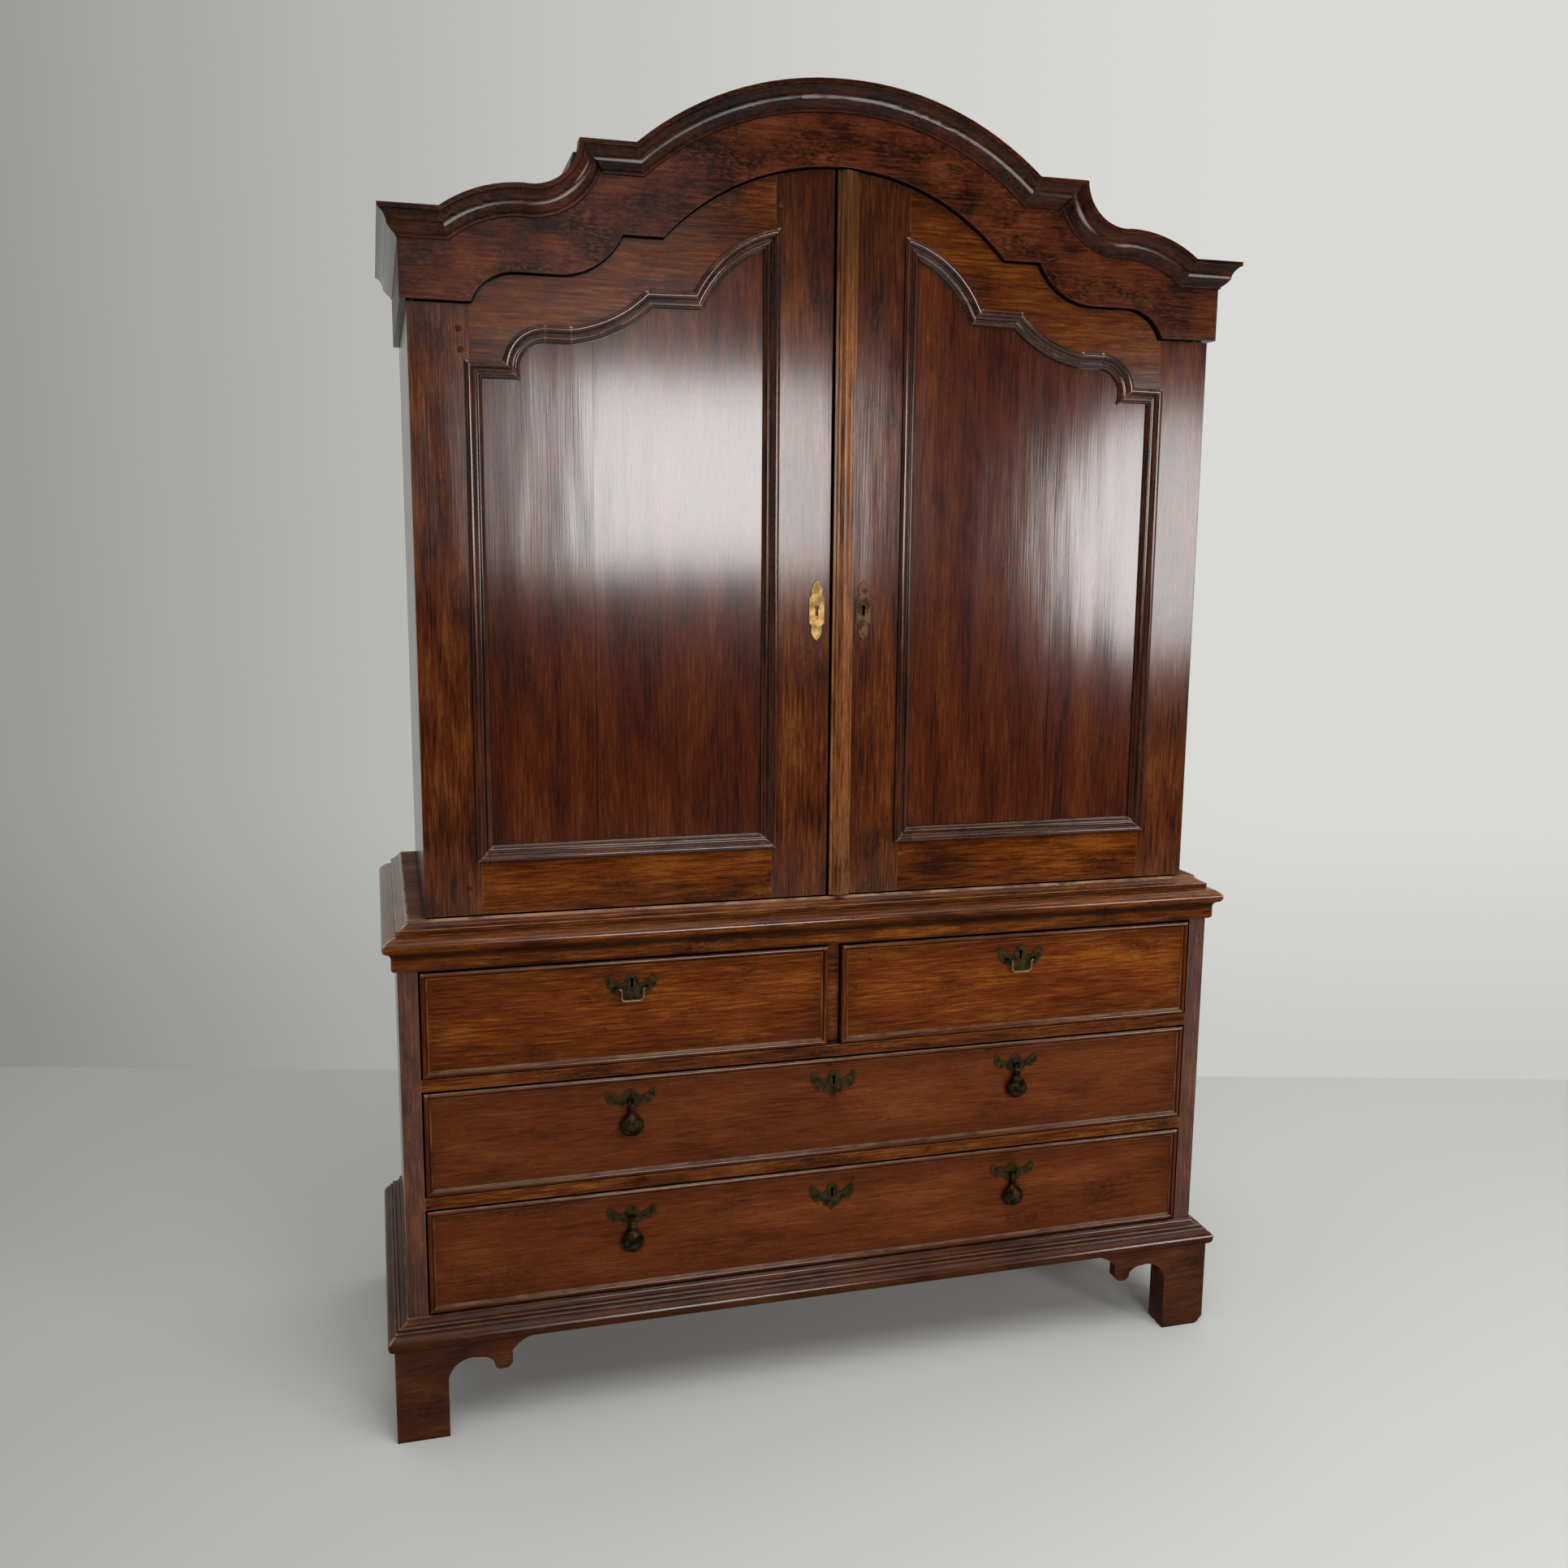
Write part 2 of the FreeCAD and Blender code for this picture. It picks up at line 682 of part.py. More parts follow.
def frieze():
    """The arched front board with the upper bushes let in, the stop behind it and the returns."""
    front = front_slab(under_roof(arch_line(0, 0)), (frieze_y, cupboard_front_y))
    stop_range = (cupboard_front_y, cupboard_front_y + stop_thickness)
    stop = front_slab(under_roof(arch_line(stop_lap, 0)), stop_range)
    z_range = (frieze_z - stop_lap, crown_end_z + crown_rise)
    stop = stop.common(block((-cupboard_inner_half, cupboard_inner_half), stop_range, z_range))
    returns = []
    for side in (left, right):
        front = front.cut(bush_space(side, frieze_z, frieze_z + pivot_depth))
        returns.append(block((side * cupboard_half, side * frieze_half), (cupboard_front_y, back_y),
                             (frieze_z, roof_end_z)))
    return [front, stop] + returns


def crown_section():
    return closed(sized(crown_section_shares, crown_projection, crown_height))


def crown_front():
    """Mitred lengths over the frieze, with a joint in the arch."""
    section = mapped(crown_section(), lambda out, up: (up, out))
    line = crown_line()
    pieces = sweep(line, section, frieze_y, crown_height, False)
    for side, place in ((left, 0), (right, -1)):
        corner = (side * frieze_half, frieze_y, 0)
        pieces[place] = pieces[place].cut(beyond(corner, (side, 1, 0), 2 * crown_end_z))
    middle = len(line) // 2
    arch = pieces[middle - 1].fuse(pieces[middle]).removeSplitter()
    joint = (crown_joint_x, frieze_y, crown_end_z)
    halves = [arch.cut(beyond(joint, (side, 0, 0), mitre_reach)) for side in (right, left)]
    return pieces[:middle - 1] + halves + pieces[middle + 1:]


def crown_returns():
    start_y = frieze_y - crown_projection
    section = mapped(crown_section(), lambda out, up: (frieze_half + out, crown_end_z + up))
    pieces = []
    for side in (left, right):
        run = face_of(section, lambda x, z: vec(side * x, start_y, z)).extrude(vec(0, back_y - start_y, 0))
        corner = (side * frieze_half, frieze_y, crown_end_z)
        pieces.append(run.cut(beyond(corner, (-side, -1, 0), mitre_reach)))
    return pieces


def shelf_levels():
    return [plinth_top_z + door_end_height * share for share in shelf_level_shares]


def shelf_depth_range():
    return cupboard_front_y + shelf_setback, back_inner_y


def shelves():
    x_range = (-cupboard_inner_half, cupboard_inner_half)
    return [block(x_range, shelf_depth_range(), (z, z + shelf_thickness)) for z in shelf_levels()]


def shelf_cleats():
    pieces = []
    for z in shelf_levels():
        for side in (left, right):
            x_range = (side * cupboard_inner_half, side * (cupboard_inner_half - cleat_width))
            pieces.append(block(x_range, shelf_depth_range(), (z - cleat_height, z)))
    return pieces


def bush_space(side, low, high):
    return cylinder(bush_radius, (side * pivot_half, pivot_y, low), (side * pivot_half, pivot_y, high))


def pivot_bushes():
    """Bushes in the plinth and in the frieze that carry the door pivots."""
    pieces = []
    bore = pivot_radius + running_fit
    for side in (left, right):
        for low, high in ((plinth_top_z - pivot_depth, plinth_top_z), (frieze_z, frieze_z + pivot_depth)):
            hole = cylinder(bore, (side * pivot_half, pivot_y, low), (side * pivot_half, pivot_y, high))
            pieces.append(bush_space(side, low, high).cut(hole))
    return pieces


# Doors, measured outward from the middle plane: u = side * x


def free_edge(side):
    return side * meeting_x + meeting_gap / 2


def meeting_edge(side):
    """The edge of the panel opening beside the meeting stile."""
    return free_edge(side) + (left_meeting_stile_width if side == left else right_meeting_stile_width)


hanging_edge = cupboard_half - hanging_stile_width


def door_outline():
    """Both doors in one outline, below the frieze."""
    line = arch_line(door_top_gap, door_heel_gap)
    return closed(line + path(line[-1][2], ((frieze_half, door_z),), ((-frieze_half, door_z),)))


def panel_outline(side, grow):
    """The opening of a door panel, grown on all sides, anticlockwise from the front."""
    meeting, hanging = meeting_edge(side) - grow, hanging_edge + grow
    top = sized(panel_shares, meeting - hanging, panel_rise, (-meeting, panel_end_z + grow))
    start = (-hanging, panel_z - grow)
    outline = path(start, ((-meeting, panel_z - grow),), (top[0][0],)) + top
    outline = closed(outline)
    return outline if side == left else flipped(outline)


def door_panel(side):
    return front_slab(panel_outline(side, panel_tongue), (panel_face_y, panel_face_y + panel_thickness))


def door_stiles(side):
    """Hanging and meeting stile with the panel groove and the holes for the pivots."""
    y_range = (door_face_y, door_back_y)
    blank = front_slab(door_outline(), y_range)
    z_range = (door_z, frieze_z + frieze_rise)
    stiles = []
    for inner, outer in ((hanging_edge, cupboard_half), (free_edge(side), meeting_edge(side))):
        stile = blank.common(block((side * inner, side * outer), y_range, z_range))
        stiles.append(stile.cut(door_panel(side)))
    for pivot in door_pivots(side):
        stiles[0] = stiles[0].cut(pivot)
    if side == right:
        space = keyhole(right_door_plate_x, key_height, y_range)
        stiles[1] = stiles[1].cut(space)
    return stiles


def door_rails(side):
    """The arched top rail and the bottom rail."""
    y_range = (door_face_y, door_back_y)
    x_range = (side * meeting_edge(side), side * hanging_edge)
    blank = front_slab(door_outline(), y_range)
    opening = front_slab(panel_outline(side, 0), y_range)
    top = blank.common(block(x_range, y_range, (panel_z, frieze_z + frieze_rise)))
    top = top.cut(opening).cut(door_panel(side))
    bottom = block(x_range, y_range, (door_z, panel_z)).cut(door_panel(side))
    return [max(top.Solids, key=lambda solid: solid.Volume), bottom]


def panel_moulding(side):
    """Mitred lengths that lap the frame and cover the edge of the panel."""
    width = panel_moulding_lap + panel_moulding_inset
    crest = sized(panel_section_shares, width, panel_moulding_proud, (-panel_moulding_lap, 0))
    foot = ((panel_moulding_inset, -panel_recess),), ((0, -panel_recess),), ((0, 0),)
    section = closed(crest + path(crest[-1][2], *foot))
    return sweep(panel_outline(side, 0), section, door_face_y, width, True)


def door_pivots(side):
    """Pins in both ends of the hanging stile; the lower one has a collar that carries the door."""
    def pin(radius, low, high):
        return cylinder(radius, (side * pivot_half, pivot_y, low), (side * pivot_half, pivot_y, high))
    low_pin = pin(pivot_radius, plinth_top_z - pivot_depth, door_z + pivot_depth)
    collar = pin(bush_radius, plinth_top_z, door_z)
    high_pin = pin(pivot_radius, door_end_z - pivot_depth, frieze_z + pivot_depth)
    return [low_pin.fuse(collar).removeSplitter(), high_pin]


def astragal():
    """The moulded strip on the meeting stile of the right door."""
    edge = free_edge(right)
    section = closed(sized(astragal_section_shares, astragal_width, -astragal_proud, (edge, door_face_y)))
    strip = plan_slab(section, (door_z, frieze_z + frieze_rise))
    strip = strip.common(front_slab(door_outline(), (door_face_y - astragal_proud, door_face_y)))
    return [strip]


def door_plate(x):
    """A tall pierced key plate on a meeting stile; the left stile behind it is whole."""
    y_range = (door_face_y - plate_thickness, door_face_y)
    plate = symmetric_plate(door_plate_shares, door_plate_width, door_plate_height, x, key_height, y_range)
    return [plate.cut(keyhole(x, key_height, y_range))]


def door_lock_bolt_ranges(slack):
    """Limits of the lock bolt on the right door, widened by a slack."""
    start_x = free_edge(right) + door_lock_edge
    middle_y = door_back_y + door_lock_thickness / 2
    half_y, half_z = door_lock_bolt_thickness / 2 + slack, door_lock_bolt_height / 2 + slack
    return ((start_x, start_x + door_lock_bolt_length + slack), (middle_y - half_y, middle_y + half_y),
            (key_height - half_z, key_height + half_z))


def door_lock():
    """A lock case on the back of the right meeting stile, hollow for its bolt."""
    start_x = free_edge(right) + door_lock_edge
    half = door_lock_height / 2
    case = block((start_x, start_x + door_lock_width), (door_back_y, door_back_y + door_lock_thickness),
                 (key_height - half, key_height + half))
    return [case.cut(block(*door_lock_bolt_ranges(bolt_fit)))]


def door_lock_bolt():
    return [block(*door_lock_bolt_ranges(0))]


def door_bolt_ranges(slack):
    """Limits of the square bolt on the back of the left door, widened by a slack."""
    half = door_bolt_size / 2 + slack
    middle_y = door_back_y + door_bolt_plate_thickness + bolt_fit + door_bolt_size / 2
    low = door_z + bolt_lift
    return ((door_bolt_x - half, door_bolt_x + half), (middle_y - half, middle_y + half),
            (low, low + door_bolt_length))


def door_bolt():
    return [block(*door_bolt_ranges(0))]


def door_bolt_hole():
    """The hole in the plinth that takes the thrown bolt."""
    x_range, y_range, z_range = door_bolt_ranges(bolt_fit)
    return block(x_range, y_range, (z_range[0] - door_bolt_throw - bolt_fit, plinth_top_z))


def door_bolt_guides():
    """The plate on the left door and the two staples that the bolt slides in."""
    x_range, y_range, z_range = door_bolt_ranges(bolt_fit)
    plate_half = door_bolt_plate_width / 2
    plate_back_y = door_back_y + door_bolt_plate_thickness
    plate = block((door_bolt_x - plate_half, door_bolt_x + plate_half), (door_back_y, plate_back_y),
                  (z_range[0] + bolt_lift, z_range[1] - staple_height))
    pieces = [plate]
    for low in (z_range[0] + staple_height, z_range[1] - 3 * staple_height):
        levels = (low, low + staple_height)
        staple = block((x_range[0] - staple_wall, x_range[1] + staple_wall),
                       (plate_back_y, y_range[1] + staple_wall), levels)
        pieces.append(staple.cut(block(x_range, (plate_back_y, y_range[1]), levels)))
    return pieces


def left_door_irons():
    return door_pivots(left) + door_bolt_guides()


# Drawers


left_bay = (-chest_inner_half, divider_range()[0])
right_bay = (divider_range()[1], chest_inner_half)
full_bay = (-chest_inner_half, chest_inner_half)
drawer_openings = {
    "top_left": (left_bay, (top_opening_z, top_rail_z)),
    "top_right": (right_bay, (top_opening_z, top_rail_z)),
    "middle": (full_bay, (middle_opening_z, upper_rail_z)),
    "bottom": (full_bay, (bottom_opening_z, lower_rail_z)),
}
short_drawer_x = {"top_left": sum(left_bay) / 2, "top_right": sum(right_bay) / 2}


def drawer_ends(name):
    (x0, x1), z_range = drawer_openings[name]
    return x0 + drawer_side_gap, x1 - drawer_side_gap


def drawer_levels(name):
    x_range, (z0, z1) = drawer_openings[name]
    return z0 + drawer_bottom_gap, z1 - drawer_top_gap


def plate_level(name, drop):
    """Middle of a plate below the top of its drawer; the bottom drawer has its plates lower."""
    lower = bottom_fittings_drop if name == "bottom" else 0
    return drawer_levels(name)[1] - drop - lower


def key_position(name):
    """Middle of the keyhole of a drawer."""
    if name in short_drawer_x:
        return short_drawer_x[name], plate_level(name, bail_plate_drop) + keyhole_height / 2
    return key_plate_offset, plate_level(name, key_plate_drop) + keyhole_height / 2


def drawer_lock_ranges(name):
    x, top = key_position(name)[0], drawer_levels(name)[1]
    half = drawer_lock_width / 2
    return ((x - half, x + half), (drawer_front_back_y - drawer_lock_thickness, drawer_front_back_y),
            (top - drawer_lock_height, top))


def drawer_bolt_ranges(name, slack):
    """Limits of a drawer's lock bolt, widened by a slack."""
    x, top = key_position(name)[0], drawer_levels(name)[1]
    half_x, half_y = drawer_bolt_width / 2 + slack, drawer_bolt_thickness / 2 + slack
    middle_y = drawer_front_back_y - drawer_lock_thickness / 2
    return ((x - half_x, x + half_x), (middle_y - half_y, middle_y + half_y),
            (top - drawer_bolt_height - slack, top))


def drawer_bolt_pocket(name):
    """The pocket in the rail above a drawer."""
    x_range, y_range, z_range = drawer_bolt_ranges(name, bolt_fit)
    return block(x_range, y_range, (z_range[1], z_range[1] + drawer_bolt_throw + bolt_fit))


def drawer_front(name):
    """The front with the place for its lock, and the mitred bead round it."""
    ends, levels = drawer_ends(name), drawer_levels(name)
    board = block(ends, (drawer_face_y, drawer_front_back_y), levels)
    board = board.cut(block(*drawer_lock_ranges(name)))
    x, z = key_position(name)
    board = board.cut(keyhole(x, z, (drawer_face_y, drawer_front_back_y)))
    section = closed(sized(bead_section_shares, bead_width, bead_proud))
    return [board] + sweep(rectangle(ends, levels), section, drawer_face_y, bead_width, True)


def drawer_box(name):
    """Sides, back and bottom of a drawer."""
    (x0, x1), top = drawer_ends(name), drawer_levels(name)[1] - drawer_side_drop
    floor_z = drawer_openings[name][1][0]
    inner = (x0 + drawer_side_thickness, x1 - drawer_side_thickness)
    y_range = (drawer_front_back_y, drawer_end_y)
    sides = [block(x_range, y_range, (floor_z, top)) for x_range in zip((x0, x1), inner)]
    bottom_z = floor_z + drawer_bottom_lift
    bottom_top_z = bottom_z + drawer_bottom_thickness
    bottom = block(inner, y_range, (bottom_z, bottom_top_z))
    back_range = (drawer_end_y - drawer_back_thickness, drawer_end_y)
    back = block(inner, back_range, (bottom_top_z, top - drawer_back_drop))
    return sides + [bottom, back]


def drawer_lock(name):
    return block(*drawer_lock_ranges(name)).cut(block(*drawer_bolt_ranges(name, bolt_fit)))


def drawer_bolt(name):
    return [block(*drawer_bolt_ranges(name, 0))]


def plate_range():
    return plate_face_y, drawer_face_y


def bail_centre(name):
    """Middle of the bail plate of a short drawer."""
    return short_drawer_x[name], plate_level(name, bail_plate_drop)


def bail_axis_y():
    return plate_face_y - bail_stand


def bail_fittings(name):
    """The pierced plate and the two posts that hold the bail."""
    x, z = bail_centre(name)
    plate = symmetric_plate(bail_plate_shares, bail_plate_width, bail_plate_height, x, z, plate_range())
    pieces = [plate.cut(keyhole(*key_position(name), plate_range()))]
    axis_y = bail_axis_y()
    for side in (left, right):
        post_x = x + side * bail_spread / 2
        post = cylinder(bail_post_radius, (post_x, plate_face_y, z), (post_x, axis_y - bail_post_nose, z))
        hole = cylinder(bail_wire_radius + running_fit, (post_x - bail_post_radius, axis_y, z),
                        (post_x + bail_post_radius, axis_y, z))
        pieces.append(post.cut(hole))
    return pieces


def bail(name):
    """A bent wire whose ends turn in the posts."""
    x, z = bail_centre(name)
    leg = bail_spread / 2 - bail_post_radius - bail_bend - bail_clearance
    end = bail_spread / 2 + bail_post_radius
    bend_mid = bail_bend * math.sqrt(0.5)
    corner_mid = bail_corner * (1 - math.sqrt(0.5))
    half = path(
        (0, -bail_drop), ((leg - bail_corner, -bail_drop),),
        ((leg - corner_mid, corner_mid - bail_drop), (leg, bail_corner - bail_drop)), ((leg, -bail_bend),),
        ((leg + bail_bend - bend_mid, bend_mid - bail_bend), (leg + bail_bend, 0)), ((end, 0),))
    wire = mapped(flipped(half) + half, lambda u, v: (x + u, z + v))
    axis_y = bail_axis_y()
    edges = []
    for start, middle, stop in wire:
        ends = [vec(point[0], axis_y, point[1]) for point in (start, middle, stop) if point]
        edges.append((Part.Arc(*ends) if middle else Part.LineSegment(*ends)).toShape())
    ring = Part.makeCircle(bail_wire_radius, vec(x - end, axis_y, z), vec(1, 0, 0))
    return [Part.Wire(edges).makePipeShell([Part.Wire([ring])], True, False)]


def drop_centre(name, side):
    """The pin of a drop on a long drawer."""
    return side * pull_share * chest_inner_half, plate_level(name, drop_plate_drop)


def drop_axis_y():
    return plate_face_y - drop_stand


def drop_fittings(name, side):
    """A batwing plate and the staple with its pin."""
    x, z = drop_centre(name, side)
    plate = symmetric_plate(batwing_shares, drop_plate_width, drop_plate_height, x, z, plate_range())
    axis_y = drop_axis_y()
    inner = drop_eye_width / 2 + ear_gap
    outer = inner + ear_thickness
    half = ear_height / 2
    staple = cylinder(drop_pin_radius, (x - outer, axis_y, z), (x + outer, axis_y, z))
    for ear in (left, right):
        x_range = (x + ear * inner, x + ear * outer)
        staple = staple.fuse(block(x_range, (plate_face_y, axis_y - half), (z - half, z + half)))
    return [plate, staple.removeSplitter()]


def drop(name, side):
    """A pear-shaped drop with an eye at its top and a domed front."""
    x, z = drop_centre(name, side)
    axis_y = drop_axis_y()
    front = axis_y - drop_thickness / 2
    body = symmetric_plate(drop_shares, drop_width, drop_length, x, z, (front, front + drop_thickness))
    eye_half = drop_eye_width / 2
    eye = cylinder(drop_eye_radius, (x - eye_half, axis_y, z), (x + eye_half, axis_y, z))
    ball_radius = (drop_dome_radius ** 2 + drop_dome_height ** 2) / (2 * drop_dome_height)
    dome_z = z - drop_length + drop_width / 2
    ball = Part.makeSphere(ball_radius, vec(x, front - drop_dome_height + ball_radius, dome_z))
    dome = ball.common(block((x - drop_width, x + drop_width), (front - drop_dome_height, axis_y),
                             (dome_z - drop_width, dome_z + drop_width)))
    bore = cylinder(drop_pin_radius + running_fit, (x - eye_half, axis_y, z), (x + eye_half, axis_y, z))
    return [body.fuse([eye, dome]).cut(bore).removeSplitter()]


def key_plate(name):
    """The batwing key plate in the middle of a long drawer."""
    x, z = key_plate_offset, plate_level(name, key_plate_drop)
    plate = symmetric_plate(batwing_shares, key_plate_width, key_plate_height, x, z, plate_range())
    return plate.cut(keyhole(*key_position(name), plate_range()))


def drawer_fittings(name):
    """Plates and lock of a drawer, all that does not move."""
    if name in short_drawer_x:
        return bail_fittings(name) + [drawer_lock(name)]
    return drop_fittings(name, left) + drop_fittings(name, right) + [key_plate(name), drawer_lock(name)]


def all_nodes():
    """Every piece of the press, by the name of its file."""
    nodes = {
        "chest_sides": chest_sides(),
        "chest_back_boards": chest_back_boards(),
        "chest_bottom_board": chest_bottom_board(),
        "chest_top_board": chest_top_board(),
        "chest_face_frame": chest_face_frame(),
        "drawer_runners": drawer_runners(),
        "waist_moulding": waist_moulding(),
        "base_moulding": base_moulding(),
        "front_feet": front_feet(),
        "rear_feet": rear_feet(),
        "foot_blocks": foot_blocks(),
        "cupboard_sides": cupboard_sides(),
        "plinth_board": plinth_board(),
        "cupboard_back_boards": cupboard_back_boards(),
        "roof_boards": roof_boards(),
        "seat_moulding": seat_moulding(),
        "frieze": frieze(),
        "crown_front": crown_front(),
        "crown_returns": crown_returns(),
        "shelves": shelves(),
        "shelf_cleats": shelf_cleats(),
        "pivot_bushes": pivot_bushes(),
        "left_door_irons": left_door_irons(),
        "left_door_bolt": door_bolt(),
        "left_door_key_plate": door_plate(left_door_plate_x),
        "right_door_key_plate": door_plate(right_door_plate_x),
        "right_door_pivots": door_pivots(right),
        "right_door_astragal": astragal(),
        "right_door_lock": door_lock(),
        "right_door_lock_bolt": door_lock_bolt(),
    }
    for word, side in (("left", left), ("right", right)):
        nodes[word + "_door_stiles"] = door_stiles(side)
        nodes[word + "_door_rails"] = door_rails(side)
        nodes[word + "_door_panel"] = [door_panel(side)]
        nodes[word + "_door_moulding"] = panel_moulding(side)
    for name in drawer_openings:
        nodes[name + "_drawer_front"] = drawer_front(name)
        nodes[name + "_drawer_box"] = drawer_box(name)
        nodes[name + "_drawer_fittings"] = drawer_fittings(name)
        nodes[name + "_drawer_bolt"] = drawer_bolt(name)
    for name in short_drawer_x:
        nodes[name + "_bail"] = bail(name)
    for name in ("middle", "bottom"):
        for word, side in (("left", left), ("right", right)):
            nodes["%s_%s_drop" % (name, word)] = drop(name, side)
    return nodes


os.makedirs("parts", exist_ok=True)
for node, solids in all_nodes().items():
    shape = solids[0] if len(solids) == 1 else Part.makeCompound(solids)
    shape.exportStep("parts/%s.step" % node)
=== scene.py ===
import json
import math

import bmesh
import bpy
from mathutils import Matrix, Vector


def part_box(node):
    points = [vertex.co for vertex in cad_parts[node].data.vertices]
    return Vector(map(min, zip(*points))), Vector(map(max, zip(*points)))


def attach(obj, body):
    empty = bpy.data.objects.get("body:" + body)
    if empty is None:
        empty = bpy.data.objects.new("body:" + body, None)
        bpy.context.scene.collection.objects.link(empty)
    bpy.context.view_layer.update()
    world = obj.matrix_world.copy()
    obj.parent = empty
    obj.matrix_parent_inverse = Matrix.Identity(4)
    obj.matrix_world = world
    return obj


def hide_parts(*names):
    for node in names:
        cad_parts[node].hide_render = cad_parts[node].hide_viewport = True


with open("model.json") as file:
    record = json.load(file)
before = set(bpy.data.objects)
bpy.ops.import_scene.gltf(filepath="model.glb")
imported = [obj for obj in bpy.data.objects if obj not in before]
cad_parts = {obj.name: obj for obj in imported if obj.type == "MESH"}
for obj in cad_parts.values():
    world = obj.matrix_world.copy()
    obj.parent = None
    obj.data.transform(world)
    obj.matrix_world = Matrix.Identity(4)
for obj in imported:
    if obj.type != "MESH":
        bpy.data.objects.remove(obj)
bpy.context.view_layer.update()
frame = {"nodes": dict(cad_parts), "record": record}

# Oak press: looks of a cupboard on a chest of drawers.
# Metres. +X is to the viewer's right, the front faces -Y, +Z is up and the floor is at 0.

# Camera
camera_place = (-0.7674, -2.6608, 1.5088)
camera_yaw = math.radians(15.821)
camera_pitch = math.radians(9.049)
camera_roll = math.radians(-0.474)
sensor_width = 36.0
focal_length = 33.247
# Rows of a matrix that holds a turn and a place
matrix_size = 4

# Floor: half its side, where it fades out, its two greys, the darker one painted shade to the left, and
# where along X one turns into the other
floor_half = 8.0
floor_fade = (3.4, 6.0)
floor_shaded_grey = (0.3, 0.304, 0.293)
floor_lit_grey = (0.585, 0.59, 0.57)
floor_shade = (-3.2, 0.3)

# Wall, which glows by itself: its size and its distance from the camera, its two greys of painted shade,
# darker to the left, and where one turns into the other, the levels between which painted shade dims it
# towards the floor, and the share of it that is left there
wall_distance = 4.07
wall_half = 7.0
wall_height = 6.0
wall_shaded_grey = (0.12, 0.123, 0.117)
wall_lit_grey = (0.7, 0.705, 0.68)
wall_shade_span = (-4.6, 1.6)
wall_foot_shade_levels = (0.0, 0.9)
wall_foot_shade_share = 0.84

# Light from all round: its colours, and the directions between which they change
room_side = (0.5, 0.51, 0.5)
room_front = (0.03, 0.03, 0.03)
room_top = (1.0, 1.0, 0.98)
front_fade = (-0.15, -0.7)
top_fade = (0.6, 0.9)

# Lamps: shape, middle, point aimed at, width, height and radiance
lamps = {
    "left_lamp": ("RECTANGLE", (0.645, -4.0, 1.835), (0.645, 0.0, 1.835), 1.22, 0.81, 16.5),
    "left_lamp_edge": ("RECTANGLE", (-0.175, -4.0, 1.835), (-0.175, 0.0, 1.835), 0.42, 0.81, 3.2),
    "left_lamp_glow": ("RECTANGLE", (-0.1, -4.0, 2.78), (-0.1, 0.0, 2.78), 1.5, 0.9, 0.8),
    "right_lamp": ("ELLIPSE", (2.82, -4.0, 1.61), (2.82, 0.0, 1.61), 1.12, 1.14, 15.5),
    "top_lamp": ("RECTANGLE", (0.3, -2.4, 4.3), (0.0, -0.3, 0.9), 3.6, 2.2, 3.1),
}
# Share of its box that an ellipse fills
ellipse_share = math.pi / 4
# Lamps that light the press but leave no bright line in its varnish
unmirrored_lamps = ("top_lamp",)

# Oak tones: dark, middle and light of the grain, and the colour of worn edges
tones = {
    "door": ((0.022, 0.004, 0.0011), (0.06, 0.0108, 0.0026),
             (0.108, 0.025, 0.0055), (0.18, 0.06, 0.015)),
    "frame": ((0.022, 0.0045, 0.0012), (0.077, 0.016, 0.0034),
              (0.148, 0.042, 0.009), (0.24, 0.09, 0.025)),
    "rail": ((0.03, 0.006, 0.001), (0.103, 0.021, 0.0024),
             (0.188, 0.052, 0.0065), (0.28, 0.1, 0.02)),
    "moulding": ((0.012, 0.0026, 0.0008), (0.046, 0.0095, 0.0023),
                 (0.1, 0.027, 0.0065), (0.26, 0.1, 0.028)),
    "frieze": ((0.016, 0.0042, 0.002), (0.082, 0.0185, 0.0068),
               (0.13, 0.034, 0.0125), (0.1, 0.03, 0.011)),
    "crown": ((0.01, 0.0027, 0.0012), (0.05, 0.0112, 0.0038),
              (0.092, 0.024, 0.0078), (0.07, 0.02, 0.007)),
    "case": ((0.026, 0.0078, 0.0031), (0.055, 0.0158, 0.0055),
             (0.092, 0.029, 0.0095), (0.11, 0.038, 0.014)),
    "chest": ((0.026, 0.0058, 0.0013), (0.1, 0.0225, 0.0035),
              (0.21, 0.064, 0.0095), (0.32, 0.13, 0.034)),
    "drawer": ((0.052, 0.0088, 0.0014), (0.118, 0.0235, 0.003),
               (0.225, 0.065, 0.0075), (0.27, 0.095, 0.018)),
    "low_drawer": ((0.06, 0.0125, 0.0032), (0.112, 0.0258, 0.0066),
                   (0.165, 0.045, 0.0122), (0.25, 0.09, 0.025)),
    "strip": ((0.06, 0.017, 0.005), (0.19, 0.062, 0.016),
              (0.3, 0.115, 0.032), (0.42, 0.2, 0.07)),
    "inside": ((0.1, 0.052, 0.024), (0.2, 0.115, 0.058),
               (0.3, 0.185, 0.1), (0.34, 0.22, 0.13)),
}
# Near-black for stains and dirt, and for painted shade in corners, along beads, under the waist moulding
# and towards the crown
grime_and_painted_shade = (0.005, 0.0022, 0.0012)
# Pale dust and painted highlight on edges that look up
dust_and_painted_highlight = (0.4, 0.27, 0.17)

